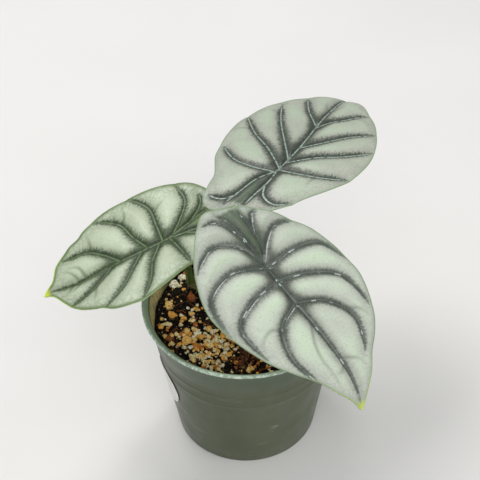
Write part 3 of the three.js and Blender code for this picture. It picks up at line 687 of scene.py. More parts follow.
def base_zone(leaf, place):
    """1 between the two basal ribs, fading out beside them and towards the joint and the notch."""
    sides = []
    for rib, hand in zip(leaf["ribs"], (1, -1)):
        line = curve_through(rib, 0.5)[::-1]
        sides.append(hand * (np.interp(place[:, 1], line[:, 1], line[:, 0]) - place[:, 0]))
    inside = np.minimum(*sides)
    deep = np.clip(-place[:, 1] / BASE_FADE["joint"], 0, 1)
    notch = np.clip((place[:, 1] + leaf["right"][-1]) / BASE_FADE["notch"], 0.3, 1)
    return np.clip(inside / BASE_FADE["side"] + 1.2, 0, 1) * deep * notch


for name, leaf in LEAVES.items():
    print(f"Veins of the {name} leaf:", len(all_veins(leaf)))

# %% [markdown]
# ## Two faces, one blade
# The upper and the lower face are two grids laid alike. They meet at the margin, where the thickness goes
# to nothing over a rounded edge, so merging the doubled vertices closes the blade. The fields stay on the
# mesh as attributes for the materials, with the flat place as a UV map.

# %% Blade builder
BLADE_THICKNESS = 0.8
EDGE_ROUND = 0.55
PUFF_SPREAD = 4.6
RIM_PUFF = 0.35
RIM_SPREAD = 4
FLAT_MAP_SIZE = 200


def two_grids():
    """A mesh of two like grids, the second turned face down, and the grid places of one."""
    bm = bmesh.new()
    for _ in ("upper face", "lower face"):
        bmesh.ops.create_grid(bm, x_segments=2 * COLUMNS, y_segments=ROWS, size=1)
    bm.verts.ensure_lookup_table()
    bm.faces.ensure_lookup_table()
    lower_faces = bm.faces[len(bm.faces) // 2:]
    bmesh.ops.reverse_faces(bm, faces=lower_faces)
    for face in lower_faces:
        face.material_index = 1
    grid = np.array([vert.co[:2] for vert in bm.verts[:len(bm.verts) // 2]])
    mesh = bpy.data.meshes.new("two grids")
    bm.to_mesh(mesh)
    bm.free()
    return mesh, grid


def make_leaf(name, leaf, materials):
    mesh, grid = two_grids()
    place, rim = lay_flat(leaf, grid[:, 0], (grid[:, 1] + 1) / 2)
    veins = read_veins(leaf, place)
    swell = 1 - np.exp(-(veins["vein_away"] / PUFF_SPREAD) ** 2)
    swell *= RIM_PUFF + (1 - RIM_PUFF) * (1 - np.exp(-(rim / RIM_SPREAD) ** 2))
    lift = leaf["puff"] * swell - leaf["sink"] * veins["groove"]
    plump = np.sqrt(1 - (1 - np.minimum(rim / EDGE_ROUND, 1)) ** 2)
    upper = on_blade(leaf, place[:, 0], place[:, 1], lift)
    lower = on_blade(leaf, place[:, 0], place[:, 1], lift - (BLADE_THICKNESS + veins["ridge"]) * plump)
    mesh.vertices.foreach_set("co", np.vstack([upper, lower]).ravel())

    fields = {
        **veins, "rim": rim, "base_zone": base_zone(leaf, place),
        "flat_x": place[:, 0], "flat_y": place[:, 1],
        "tip": np.hypot(place[:, 0], place[:, 1] - leaf["right"][0]),
    }
    for field, values in fields.items():
        mesh.attributes.new(field, "FLOAT", "POINT").data.foreach_set("value", np.tile(values, 2))
    bm = bmesh.new()
    bm.from_mesh(mesh)
    bpy.data.meshes.remove(mesh)
    bmesh.ops.remove_doubles(bm, verts=bm.verts, dist=0.002)
    piece = finish_piece(bm, f"blade_{name}", materials, (f"leaf_{name}",))
    add_flat_map(piece.data)


def add_flat_map(mesh):
    """A UV map of the flat leaf, so that patterns lie on it as they grew."""
    corners = np.zeros(len(mesh.loops), int)
    mesh.loops.foreach_get("vertex_index", corners)
    flat = []
    for axis in ("flat_x", "flat_y"):
        values = np.zeros(len(mesh.vertices))
        mesh.attributes[axis].data.foreach_get("value", values)
        flat.append(values[corners] / FLAT_MAP_SIZE + 0.5)
    mesh.uv_layers.new(name="flat").data.foreach_set("uv", np.stack(flat, 1).ravel())


print("Points on one face of a blade:", (2 * COLUMNS + 1) * (ROWS + 1))

# %% [markdown]
# ## Silver skin
# The silver is a layer of air under a thin skin, so it is pale and satin. It is a little green in the
# middle of a panel and mottled by the cells below. Every pattern is laid on the flat leaf, so that it
# bends and stretches with the blade. Each of the next functions adds one thing to the colour, and the
# skin puts them together at the end.

# %% Silver skin
def flat_place(recipe):
    return recipe.add("UVMap", uv_map="flat").outputs["UV"]


def silver_panels(recipe, flat, on, tints):
    """The silver between the veins, greener in the middle of a panel, with mottles of a millimetre."""
    silver = blotches(recipe, flat, FLAT_MAP_SIZE / 14, tints["silver"], tints["silver_2"])
    cloud = recipe.fade(recipe.noise(flat, FLAT_MAP_SIZE / 20), 0.3, 0.65)
    middle = recipe.times(recipe.fade(on["vein_away"], 2.2, 6.5), recipe.fade(on["rim"], 1.5, 6))
    colour = recipe.tint(silver, tints["middle"], middle, cloud)
    mottle = recipe.noise(flat, FLAT_MAP_SIZE / 1.1, detail=3, roughness=0.75)
    colour = recipe.tint(colour, tints["shade"], recipe.fade(mottle, 0.5, 0.75, 0.0, 0.35))
    return recipe.tint(colour, tints["pale"], recipe.fade(mottle, 0.5, 0.25, 0.0, 0.3))


def base_wedge(recipe, colour, flat, on, tints):
    """Dark streaked tissue between the two basal ribs, in a base that may be a little darker."""
    baseward = recipe.fade(on["flat_y"], 18, -22)
    colour = recipe.tint(colour, tints["shade"], baseward, tints["base_shade"])
    lengthways = recipe.stretched(flat, (1, 0.16, 1))
    strokes = recipe.noise(lengthways, FLAT_MAP_SIZE / 1.4, detail=3, roughness=0.65)
    wedge = recipe.fade(recipe.math("ADD", on["base_zone"], recipe.times(strokes, 0.9)), 0.6, 1.5)
    base = recipe.mix(recipe.fade(strokes, 0.35, 0.65), tints["base"], tints["base_2"])
    return recipe.tint(colour, base, wedge, 0.95)


def margin_line(recipe, colour, on, tints):
    """A greener band, the thin line of the margin, brighter near the tip, and the fleshy tip."""
    band = recipe.fade(on["rim"], 2.6, 0.6)
    colour = recipe.tint(colour, tints["band"], band, tints["band_amount"])
    line = recipe.mix(recipe.fade(on["tip"], 34, 10), tints["line"], tints["tip_line"])
    colour = recipe.tint(colour, line, recipe.fade(on["rim"], 0.75, 0.3))
    return recipe.tint(colour, tints["tip"], recipe.fade(on["tip"], 6, 1.5))


# %% [markdown]
# ## Veins on the skin
# Fine side strokes, a halo and dark crooks shade the silver beside a vein, and a net of the smallest
# veins shows near the margin: the edges of a cell pattern are near enough to it. Dark ink lies over them
# along the vein. In the middle of the ink runs a lighter, bluer trough, partly painted sheen. Down its
# middle runs a pale line, broken into dashes on the front leaf: partly the vein's own pale core, partly
# painted highlights where the wet bottom of the trough glints.

# %% Veins on the skin
def side_shade(recipe, colour, flat, on, ink, tints):
    """The shaded colour, with the masks of the side strokes and of the finest net."""
    stripes = recipe.plane(recipe.times(on["vein_run"], 1.3), recipe.times(on["vein_away"], 0.25))
    striped = recipe.fade(recipe.noise(stripes, 1.0, detail=3, roughness=0.6), 0.5, 0.72)
    striped = recipe.times(striped, recipe.fade(on["vein_away"], 4.4, 1.6))
    cells = recipe.add("TexVoronoi", {
        "Vector": flat, "Scale": FLAT_MAP_SIZE / 3.6, "Randomness": 1.0,
    }, feature="DISTANCE_TO_EDGE").outputs["Distance"]
    net = recipe.times(recipe.fade(cells, 0.12, 0.0), recipe.fade(on["rim"], 12, 2))
    colour = recipe.tint(colour, tints["shade"], striped, tints["stripe"])
    colour = recipe.tint(colour, tints["shade"], ink["Halo"], tints["halo"])
    colour = recipe.tint(colour, tints["crook"], ink["Crook"], 0.75)
    colour = recipe.tint(colour, tints["shade"], on["branch"], tints["branch"])
    return recipe.tint(colour, tints["shade"], net, tints["net"]), striped, net


def vein_lines(recipe, colour, flat, on, ink, tints):
    """The colour with the veins on it, painted sheen and highlights included, and the masks of their
    glints and of their wet middles.
    """
    stain = blotches(recipe, flat, FLAT_MAP_SIZE / 5, tints["ink"], tints["ink_2"])
    colour = recipe.tint(colour, stain, ink["Ink"], 0.95)
    off = recipe.math("ABSOLUTE", on["vein_side"])
    on_vein = recipe.fade(on["vein_gap"], 1.0, 0.5)
    # A lighter, bluer middle of the vein, partly the channel's own colour and partly painted sheen.
    sheen_trough = recipe.times(recipe.fade(off, 1.15, 0.3), on_vein)
    colour = recipe.tint(colour, tints["sheen_trough"], sheen_trough, tints["sheen_trough_amount"])
    # A pale line in the middle of the vein, dashed by a noise along the run: partly the vein's own pale
    # core, partly painted highlights of the wet trough bottom.
    dashes = recipe.plane(recipe.times(on["vein_run"], tints["glint_rate"]))
    dashed = recipe.fade(recipe.noise(dashes, 1.0, detail=1, roughness=0.4), *tints["glint_breaks"])
    glint = recipe.times(recipe.fade(off, 0.48, 0.22), on_vein, dashed)
    wet = recipe.times(recipe.fade(off, 1.5, 0.5), on_vein, tints["wet"])
    return recipe.tint(colour, tints["core_and_glint"], glint, tints["core_and_glint_amount"]), glint, wet


# %% [markdown]
# ## The whole leaf skin
# The upper skin joins the parts above. It is satin, with wet vein bottoms under a thin coat, and a bump
# lifts the glints and sinks the side strokes and the net, too fine for the mesh. The lower face is matt,
# paler and greener, with raised veins.

# %% Leaf skin
LEAF_FIELDS = (
    "vein_gap", "vein_side", "vein_run", "vein_away", "vein_crowd", "branch", "rim", "tip", "flat_y",
    "base_zone",
)
print("Fields that the skin reads:", len(LEAF_FIELDS))


def leaf_skin(name, tints):
    material, recipe, shader = new_material(name)
    flat = flat_place(recipe)
    on = {field: recipe.attribute(field) for field in LEAF_FIELDS}
    ink = recipe.group(VEIN_INK, {
        "Gap": on["vein_gap"], "Run": on["vein_run"], "Away": on["vein_away"],
        "Crowd": on["vein_crowd"], "Feather": tints["feather"],
    })
    colour = silver_panels(recipe, flat, on, tints)
    colour, striped, net = side_shade(recipe, colour, flat, on, ink, tints)
    colour = base_wedge(recipe, colour, flat, on, tints)
    colour, glint, wet = vein_lines(recipe, colour, flat, on, ink, tints)
    colour = margin_line(recipe, colour, on, tints)
    raised = recipe.math("ADD", recipe.times(glint, 0.5), recipe.times(striped, -0.35))
    raised = recipe.math("SUBTRACT", raised, recipe.times(net, 0.25))
    bump = recipe.add("Bump", {
        "Height": raised, "Strength": 1.0, "Distance": 0.00025,
        "Normal": fine_grain(recipe, flat, FLAT_MAP_SIZE / 0.9, 0.00007),
    })
    satin = recipe.fade(recipe.noise(flat, FLAT_MAP_SIZE / 2.5, detail=3), 0.3, 0.7, 0.4, 0.52)
    recipe.fill(shader, {
        "Base Color": colour,
        "Roughness": recipe.between(wet, satin, 0.2),
        "Coat Weight": recipe.times(wet, 0.6),
        "Coat Roughness": 0.1,
        "Normal": bump.outputs["Normal"],
    })
    return material


def leaf_underside(name, plain, pale, vein):
    """The lower face: matt, paler and greener, with raised veins."""
    material, recipe, shader = new_material(name)
    flat = flat_place(recipe)
    cloud = blotches(recipe, flat, FLAT_MAP_SIZE / 11, plain, pale)
    raised = recipe.fade(recipe.attribute("vein_gap"), 1.1, 0.5)
    recipe.fill(shader, {
        "Base Color": recipe.tint(cloud, vein, raised, 0.8),
        "Roughness": 0.55,
        "Normal": fine_grain(recipe, flat, FLAT_MAP_SIZE / 1.1, 0.0001),
    })
    return material


# %% [markdown]
# ## Making the leaves
# The three leaves share one recipe and differ in its values. The two grown leaves are silver and grey,
# the front one paler and glossier in its veins. The young leaf on the left is fresher, with clear green
# ink, a net that shows more and a green margin. Each row of the table gives a value for the front, the
# back and the left leaf.

# %% Make the leaves
TINTS = {
    "silver": ((196, 203, 187), (172, 177, 160), (182, 192, 166)),
    "silver_2": ((188, 194, 180), (162, 166, 152), (170, 180, 153)),
    "middle": ((198, 213, 187), (170, 183, 160), (190, 201, 174)),
    "pale": ((212, 219, 204), (192, 198, 182), (204, 213, 188)),
    "shade": ((104, 108, 94), (96, 100, 86), (100, 114, 82)),
    "crook": ((74, 76, 66), (58, 62, 50), (68, 84, 48)),
    "ink": ((52, 61, 49), (40, 48, 36), (38, 52, 26)),
    "ink_2": ((70, 80, 66), (52, 62, 48), (54, 74, 38)),
    "base": ((88, 90, 78), (88, 90, 78), (78, 98, 54)),
    "base_2": ((72, 96, 66), (72, 96, 66), (104, 124, 78)),
    # The trough tint is a lighter, bluer vein middle, partly painted sheen.
    "sheen_trough": ((84, 94, 88), (72, 84, 74), (66, 88, 46)),
    # The pale vein middle is partly the vein's own core, partly painted highlight.
    "core_and_glint": ((190, 202, 196), (168, 186, 170), (112, 136, 86)),
    "band": ((142, 156, 136), (142, 156, 136), (98, 120, 70)),
    "line": ((128, 146, 112), (128, 146, 112), (86, 116, 52)),
    "tip_line": ((150, 176, 80), (150, 176, 80), (160, 190, 60)),
    "tip": ((190, 206, 80), (190, 206, 80), (206, 220, 50)),
    "sheen_trough_amount": (0.25, 0.3, 0.3),
    # How strongly the pale middle with its painted highlights shows, and where and how often it breaks
    # into dashes.
    "core_and_glint_amount": (0.8, 0.8, 0.45),
    "glint_breaks": ((0.57, 0.62), (0.3, 0.55), (0.35, 0.5)),
    "glint_rate": (0.15, 0.45, 0.2),
    "wet": (1.0, 0.3, 0.1),
    "feather": (2.7, 4.2, 4.2),
    "halo": (0.8, 0.85, 0.95),
    "stripe": (0.3, 0.5, 0.5),
    "branch": (0.6, 0.6, 0.85),
    "net": (0.12, 0.12, 0.34),
    "band_amount": (0.5, 0.5, 0.9),
    "base_shade": (0.24, 0.0, 0.0),
}
GROWN_LOWER = leaf_underside("leaf grown lower", (150, 165, 132), (168, 180, 150), (120, 138, 96))
YOUNG_LOWER = leaf_underside("leaf young lower", (160, 178, 130), (176, 190, 148), (132, 154, 96))

for column, (name, slot, skin, lower) in enumerate((
    ("front", "leaf", "leaf front upper", GROWN_LOWER),
    ("back", "leaf", "leaf back upper", GROWN_LOWER),
    ("left", "leaf_young", "leaf young upper", YOUNG_LOWER),
)):
    upper = leaf_skin(skin, {tint: row[column] for tint, row in TINTS.items()})
    make_leaf(name, LEAVES[name], [upper, lower])

# %% [markdown]
# ## Stalks
# Each leaf hangs from a round stalk that leaves the crown steeply and bends over to meet the underside of
# its blade, a third of the way in from the notch. A grid rolled up round a curve makes the tube. Its foot
# widens into a sheath with a shallow open channel on the side of the crown, and its head swells a little
# where it turns into the ribs of the blade.

# %% Stalk shape
CROWN_PLACE = (-24, 22)
STALKS = {
    "front": {"foot": (1.6, -3.1), "lean": (3, -6, 22), "approach": 14},
    "back": {"foot": (2.6, 2.4), "lean": (9, 2, 26), "approach": 14},
    "left": {"foot": (-3.3, 0.2), "lean": (-2, -2, 20), "approach": 12},
}
STALK_ROOT = 70
STALK_STEPS = 150
STALK_SIDES = 32
FOOT_RADIUS = 2.5
HEAD_RADIUS = 1.5
TAPER_PART = 0.55
SHEATH_PART = 0.3
SHEATH_SWELL = 0.35
CHANNEL_DEPTH = 0.9
CHANNEL_WIDTH = 0.5
HEAD_PART = 0.03
HEAD_SWELL = 0.35
HEAD_SEAT = 1.1
RIDGES = 9
RIDGE_DEPTH = 0.05


def stalk_line(name):
    """Points along the middle of a stalk, from the soil up into the blade."""
    stalk, leaf = STALKS[name], LEAVES[name]
    joint, up = Vector(leaf["joint"]), leaf_axes(leaf)[2]
    foot = Vector((CROWN_PLACE[0] + stalk["foot"][0], CROWN_PLACE[1] + stalk["foot"][1], STALK_ROOT))
    knots = [foot, foot + Vector(stalk["lean"]), joint - up * stalk["approach"], joint - up * HEAD_SEAT]
    line = curve_through(knots, 0.5)
    run = np.append(0, np.cumsum(np.linalg.norm(np.diff(line, axis=0), axis=1)))
    even = np.linspace(0, run[-1], STALK_STEPS + 1)
    return np.stack([np.interp(even, run, line[:, k]) for k in range(3)], 1)


def make_stalk(name, material):
    line = stalk_line(name)
    bm = bmesh.new()
    bmesh.ops.create_grid(bm, x_segments=STALK_SIDES, y_segments=STALK_STEPS, size=1)
    share = bm.verts.layers.float.new("share")
    aims = np.gradient(line, axis=0)
    start = Vector((CROWN_PLACE[0], CROWN_PLACE[1], STALK_ROOT)) - Vector(line[0])
    for vert in bm.verts:
        turn = (vert.co.x + 1) * math.pi
        t = (vert.co.y + 1) / 2
        step = round(t * STALK_STEPS)
        aim = Vector(aims[step]).normalized()
        side = (start - aim * start.dot(aim)).normalized()
        radius = FOOT_RADIUS + (HEAD_RADIUS - FOOT_RADIUS) * min(1, t / TAPER_PART)
        sheath = 1 - min(1, t / SHEATH_PART)
        off = min(turn, 2 * math.pi - turn)
        channel = CHANNEL_DEPTH * sheath ** 0.5 * math.exp(-(off / CHANNEL_WIDTH) ** 2)
        radius += SHEATH_SWELL * sheath - channel
        radius += HEAD_SWELL * math.exp(-((1 - t) / HEAD_PART) ** 2)
        radius += RIDGE_DEPTH * math.sin(RIDGES * turn) * min(1, 4 * (1 - t))
        vert.co = Vector(line[step]) + radius * (side * math.cos(turn) + aim.cross(side) * math.sin(turn))
        vert[share] = t
    bmesh.ops.remove_doubles(bm, verts=bm.verts, dist=0.01)
    bmesh.ops.holes_fill(bm, edges=bm.edges, sides=0)
    bmesh.ops.recalc_face_normals(bm, faces=bm.faces)
    finish_piece(bm, f"stalk_{name}", [material], (f"petiole_{name}",))


for name in STALKS:
    steps = np.diff(stalk_line(name), axis=0)
    print(f"Stalk of the {name} leaf:", round(np.linalg.norm(steps, axis=1).sum()), "mm long")

# %% [markdown]
# ## Stalk skin
# The skin is smooth and satin, a deep green with fine streaks that run the long way and a browner foot.
# The streaks are a noise stretched along the height, since the stalks stand nearly upright.

# %% Stalk material
def make_stalk_skin():
    material, recipe, shader = new_material("stalk skin")
    place = recipe.place()
    long_way = recipe.stretched(place, (1, 1, 0.12))
    colour = blotches(recipe, long_way, 900.0, (70, 92, 46), (98, 120, 64))
    freckle = recipe.fade(recipe.noise(place, 1300), 0.62, 0.7)
    colour = recipe.tint(colour, (58, 60, 40), freckle, 0.35)
    share = recipe.attribute("share")
    colour = recipe.tint(colour, (104, 92, 62), recipe.fade(share, 0.22, 0.0))
    colour = recipe.tint(colour, (120, 136, 92), recipe.fade(share, 0.88, 1.0))
    recipe.fill(shader, {
        "Base Color": colour,
        "Roughness": 0.38,
        "Normal": fine_grain(recipe, long_way, 1400.0, 0.00008),
    })
    return material


STALK_SKIN = make_stalk_skin()
for name in STALKS:
    make_stalk(name, STALK_SKIN)

# %% [markdown]
# ## Crown
# The stalks grow from a short thick stem, the crown, that barely shows above the soil. It carries rings
# where older leaves have dropped and thin dry wrappers. A spun outline gives the stem, with a lip at each
# ring, and a little noise keeps it from looking turned.

# %% Crown
CROWN_OUTLINE = [
    (0, 59), (4.1, 59), (5.6, 62), (6.5, 65), (6.7, 68.4), (6.3, 69), (6.75, 70.2), (6.7, 72.2),
    (6.2, 72.7), (6.45, 73.8), (6.1, 75.4), (5.5, 75.8), (5.4, 76.8), (4.2, 77.6), (2.4, 78), (0, 78),
]
CROWN_WOBBLE = 0.3


def spun(outline, steps):
    """A bmesh of an outline of (radius, height) points, spun right round the upright axis."""
    bm = bmesh.new()
    verts = [bm.verts.new((radius, 0, height)) for radius, height in outline]
    edges = [bm.edges.new(pair) for pair in zip(verts, verts[1:])]
    bmesh.ops.spin(bm, geom=verts + edges, cent=(0, 0, 0), axis=(0, 0, 1), steps=steps,
                   angle=math.tau, use_merge=True)
    bmesh.ops.remove_doubles(bm, verts=bm.verts, dist=0.001)
    bmesh.ops.recalc_face_normals(bm, faces=bm.faces)
    return bm


def make_crown_skin():
    material, recipe, shader = new_material("crown skin")
    place = recipe.place()
    upright = recipe.stretched(place, (1, 1, 0.15))
    fibre = recipe.noise(upright, 1500, detail=4, roughness=0.7)
    colour = recipe.mix(recipe.fade(fibre, 0.35, 0.65), (74, 58, 36), (138, 120, 78))
    green = recipe.fade(recipe.noise(place, 220), 0.48, 0.62)
    recipe.fill(shader, {
        "Base Color": recipe.tint(colour, (96, 104, 56), green, 0.6),
        "Roughness": 0.75,
        "Normal": fine_grain(recipe, upright, 1800.0, 0.0003),
    })
    return material


bm = spun(CROWN_OUTLINE, 64)
bmesh.ops.subdivide_edges(bm, edges=bm.edges, cuts=2, use_grid_fill=True)
bmesh.ops.translate(bm, verts=bm.verts, vec=(*CROWN_PLACE, 0))
bm.normal_update()
for vert in bm.verts:
    wobble = noise.noise(vert.co * 0.7) + 0.5 * noise.noise(vert.co * 2)
    vert.co += vert.normal * CROWN_WOBBLE * wobble
finish_piece(bm, "crown_stem", [make_crown_skin()], ("crown",))

# %% [markdown]
# ## Nursery pot
# Such a pot is moulded in thin satin plastic: a tapered wall with a shoulder below the rim, a flat rolled
# lip, a foot ring with the floor set in a little, and holes to let water out. Spinning one closed outline
# gives wall and floor together with their real thickness. Two low ridges stand for the mould lines, and
# every sharp edge round the pot is bevelled.

# %% Pot shape
POT_HEIGHT = 86
POT_WALL = 1.0
POT_FLOOR = 2.4
POT_FOOT_RADIUS = 37.4
POT_TAPER = 0.14419
SHOULDER = 69
SHOULDER_STEP = 0.4
MOULD_LINES = [(54, 0.2), (62, 0.3)]
POT_STEPS = 180


def pot_outside(height):
    """The outer radius of the wall at a height."""
    return POT_FOOT_RADIUS + POT_TAPER * height + (SHOULDER_STEP if height > SHOULDER else 0)


def pot_outline():
    """(radius, height) points from the middle of the underside round to the middle of the floor."""
    outside = [(0, 0), (12, 0), (13.2, 1.2), (30.2, 1.2), (31.4, 0), (36.9, 0), (pot_outside(1), 1)]
    outside += [(pot_outside(height), height) for height in (12, 24, 38, 50)]
    for height, depth in MOULD_LINES:
        wall = [(pot_outside(height + off), height + off) for off in (-0.5, 0, 0.5)]
        wall[1] = (wall[1][0] + depth, height)
        outside += wall
    outside += [(pot_outside(height), height) for height in (66, SHOULDER, 69.5, 76, 84.2)]
    lip = [(52, 84.2), (52.5, 84.7), (52.5, 85.5), (52, POT_HEIGHT), (51.2, POT_HEIGHT)]
    lip += [(50.8, 85.7), (50.1, 84.8)]
    inside = [(pot_outside(height) - POT_WALL, height) for height in (83.8, 69.5, 69, 50, 24, POT_FLOOR)]
    return outside + lip + inside + [(0, POT_FLOOR)]


bm = spun(pot_outline(), POT_STEPS)
sharp = [edge for edge in bm.edges if edge.is_manifold and edge.calc_face_angle() > math.radians(28)]
bmesh.ops.bevel(bm, geom=sharp, offset=0.22, segments=2, affect="EDGES", profile=0.5, material=-1,
                clamp_overlap=True)
print("Pot without holes:", len(bm.faces), "faces")

# %% [markdown]
# ## Drain holes
# Water leaves the pot through six round holes in its floor. A cone operator with two like radii makes
# each cutter, and one exact Boolean takes them all out. The bevels and the cut leave a few slivers, so
# points that lie closer than a hundredth of a millimetre are merged.

# %% Drain holes
DRAIN_HOLES = 6
HOLE_RADIUS = 3.5
HOLE_RING = 23
SLIVER = 0.01


def add_object(name, bm):
    mesh = bpy.data.meshes.new(name)
    bm.to_mesh(mesh)
    bm.free()
    thing = bpy.data.objects.new(name, mesh)
    bpy.context.scene.collection.objects.link(thing)
    return thing


def cut_away(thing, cutters):
    """The thing's shape without the cutters, as a new bmesh. Both objects are used up."""
    tool = thing.modifiers.new("cut", "BOOLEAN")
    tool.operation = "DIFFERENCE"
    tool.object = cutters
    tool.solver = "EXACT"
    solved = thing.evaluated_get(bpy.context.evaluated_depsgraph_get())
    bm = bmesh.new()
    bm.from_mesh(solved.to_mesh())
    solved.to_mesh_clear()
    for used in (thing, cutters):
        bpy.data.objects.remove(used)
    return bm


whole = add_object("pot_whole", bm)
bm = bmesh.new()
for number in range(DRAIN_HOLES):
    turn = math.tau * number / DRAIN_HOLES
    at = Matrix.Translation((HOLE_RING * math.cos(turn), HOLE_RING * math.sin(turn), 0))
    bmesh.ops.create_cone(bm, cap_ends=True, segments=32, radius1=HOLE_RADIUS, radius2=HOLE_RADIUS,
                          depth=10, matrix=at)
POT_SHAPE = cut_away(whole, add_object("hole_cutters", bm))
bmesh.ops.remove_doubles(POT_SHAPE, verts=POT_SHAPE.verts, dist=SLIVER)
bmesh.ops.dissolve_degenerate(POT_SHAPE, edges=POT_SHAPE.edges, dist=SLIVER)
print("Pot:", len(POT_SHAPE.faces), "faces")

# %% [markdown]
# ## Pot plastic
# The plastic is a dark grey-green, satin and a little worn: short level scuffs, a faint pale wash that
# runs down the wall, and dust at the foot. Its olive tone is partly its own colour and partly a painted
# reflection of a brown wooden table; above the shoulder it is a little greener. The lip is paler as a
# painted highlight on its upturned top, and a painted highlight broken into rub marks turns its outer
# edge nearly white. Inside the rim the wall is stained tan by soil and hard water. One mask, set on the
# mesh, tells the inside from the outside.

# %% Pot material
def make_pot_plastic():
    material, recipe, shader = new_material("pot plastic")
    place = recipe.place()
    x, y, height = recipe.add("SeparateXYZ", {0: place}).outputs
    radius = recipe.math("SQRT", recipe.math("ADD", recipe.times(x, x), recipe.times(y, y)))
    # The olive is partly the plastic's own colour, partly a painted reflection of a brown wooden table;
    # the wall above the shoulder is tinted greener.
    colour = blotches(recipe, place, 22.0, (70, 78, 55), (78, 86, 62))
    colour = recipe.tint(colour, (70, 87, 69), recipe.fade(height, 0.066, 0.072), 0.5)
    wash = recipe.noise(recipe.stretched(place, (1, 1, 0.08)), 260, detail=3)
    colour = recipe.tint(colour, (120, 132, 112), recipe.fade(wash, 0.5, 0.75), 0.06)
    colour = recipe.tint(colour, (150, 162, 146), scuffs(recipe, place, 30.0, 0.5))
    dust = recipe.fade(recipe.noise(place, 900, detail=4), 0.5, 0.7)
    colour = recipe.tint(colour, (150, 140, 118), recipe.fade(height, 0.014, 0.0), 0.3, dust)
    lip = recipe.fade(height, 0.0838, 0.0845)
    # The lip is paler as a painted highlight on its upturned top.
    colour = recipe.tint(colour, (152, 173, 149), lip, 0.85)
    # A painted highlight along the lip's outer edge, broken by noise into rub marks, turns it nearly
    # white.
    rubbed_highlight = recipe.fade(recipe.noise(place, 420, detail=5, roughness=0.75), 0.44, 0.58)
    colour = recipe.tint(colour, (206, 222, 204), lip, rubbed_highlight, recipe.fade(radius, 0.0515, 0.0522))
    stain = blotches(recipe, place, 110.0, (206, 188, 132), (158, 158, 110))
    speck = recipe.fade(recipe.noise(place, 700, detail=3), 0.58, 0.68)
    stain = recipe.tint(stain, (60, 50, 34), speck, 0.7)
    inside = recipe.attribute("inside")
    satin = recipe.fade(recipe.noise(place, 90, detail=3), 0.3, 0.7, 0.34, 0.44)
    recipe.fill(shader, {
        "Base Color": recipe.tint(colour, stain, inside, recipe.fade(height, 0.0846, 0.081)),
        "Roughness": recipe.between(inside, satin, 0.7),
        "Normal": fine_grain(recipe, place, 2200.0, 0.00003),
    })
    return material


inside = POT_SHAPE.verts.layers.float.new("inside")
for vert in POT_SHAPE.verts:
    radius = math.hypot(vert.co.x, vert.co.y)
    vert[inside] = vert.co.z > 2 and radius < pot_outside(vert.co.z) - 0.45
finish_piece(POT_SHAPE, "pot_shell", [make_pot_plastic()], ("pot",))

# %% [markdown]
# ## Blank sticker
# A small plain round sticker is stuck on the side of the pot. It is a grid pressed into a disc and bent
# round the wall, because a disc of triangles would crease there. Its edge lifts a little, and it has the
# thickness of stiff paper.

# %% Sticker
STICKER_TURN = 198.75
STICKER_HEIGHT = 41.5
STICKER_RADIUS = 13
STICKER_PAPER = 0.2
STICKER_EDGE = 0.7
STICKER_SEAT = 0.33
STICKER_WAVE = 0.06


def press_round(x, y):
    """Presses a point of a square of half size 1 into a disc of radius 1."""
    reach = max(abs(x), abs(y))
    if reach == 0:
        return x, y
    turn = math.pi / 4 * min(abs(x), abs(y)) / reach
    turn = turn if abs(x) >= abs(y) else math.pi / 2 - turn
    return math.copysign(reach * math.cos(turn), x), math.copysign(reach * math.sin(turn), y)


def make_sticker_paper():
    material, recipe, shader = new_material("sticker paper")
    place = recipe.place()
    tone = blotches(recipe, place, 160.0, (228, 225, 218), (238, 236, 230))
    recipe.fill(shader, {
        "Base Color": recipe.tint(tone, (170, 168, 156), scuffs(recipe, place, 120.0, 0.3)),
        "Roughness": 0.42,
        "Normal": fine_grain(recipe, place, 900.0, 0.00008),
    })
    return material


bm = bmesh.new()
bmesh.ops.create_grid(bm, x_segments=36, y_segments=36, size=1)
for vert in bm.verts:
    across, rise = press_round(vert.co.x, vert.co.y)
    turn = math.radians(STICKER_TURN) + across * STICKER_RADIUS / pot_outside(STICKER_HEIGHT)
    height = STICKER_HEIGHT + rise * STICKER_RADIUS
    lifted = max(0, math.hypot(across, rise) - STICKER_EDGE)
    wave = STICKER_WAVE * noise.noise(Vector((across, rise, 0)) * 3)
    radius = pot_outside(height) + STICKER_SEAT + lifted ** 2 + wave
    vert.co = (radius * math.cos(turn), radius * math.sin(turn), height)
bmesh.ops.recalc_face_normals(bm, faces=bm.faces)
bmesh.ops.solidify(bm, geom=bm.faces, thickness=STICKER_PAPER)
bmesh.ops.recalc_face_normals(bm, faces=bm.faces)
finish_piece(bm, "sticker", [make_sticker_paper()], ("label",))

# %% [markdown]
# ## Potting mix
# The mix is dark, damp and open: bits of bark and coir with a lot of pale pumice and perlite on top. The
# dark body is a square grid pressed into a round one, roughened by noise, with its edge drawn down to the
# floor of the pot and closed. It follows the same mound as the frame's soil.

# %% Soil body
SOIL_EDGE = 69
SOIL_MOUND = (7, 24)
SOIL_BOTTOM = 2.5
SOIL_GAP = 0.1
SOIL_GRID = 170


def soil_height(x, y):
    rise, spread = SOIL_MOUND
    away = math.hypot(x - CROWN_PLACE[0], y - CROWN_PLACE[1]) / spread
    u, v = (math.tau * value / 16 for value in (x, y))
    lumps = math.sin(u + 1) * math.cos(v + 2) + math.sin(0.5 * u - 0.7 * v)
    return SOIL_EDGE + rise * math.exp(-away * away) + 0.7 * lumps


def soil_surface(x, y):
    """The mound with crumbs of a few sizes on it."""
    spot = Vector((x, y, 0))
    crumbs = 0.9 * noise.noise(spot * 0.35) + 0.8 * noise.noise(spot * 0.8)
    crumbs += 0.45 * noise.noise(spot * 1.9)
    return soil_height(x, y) + crumbs


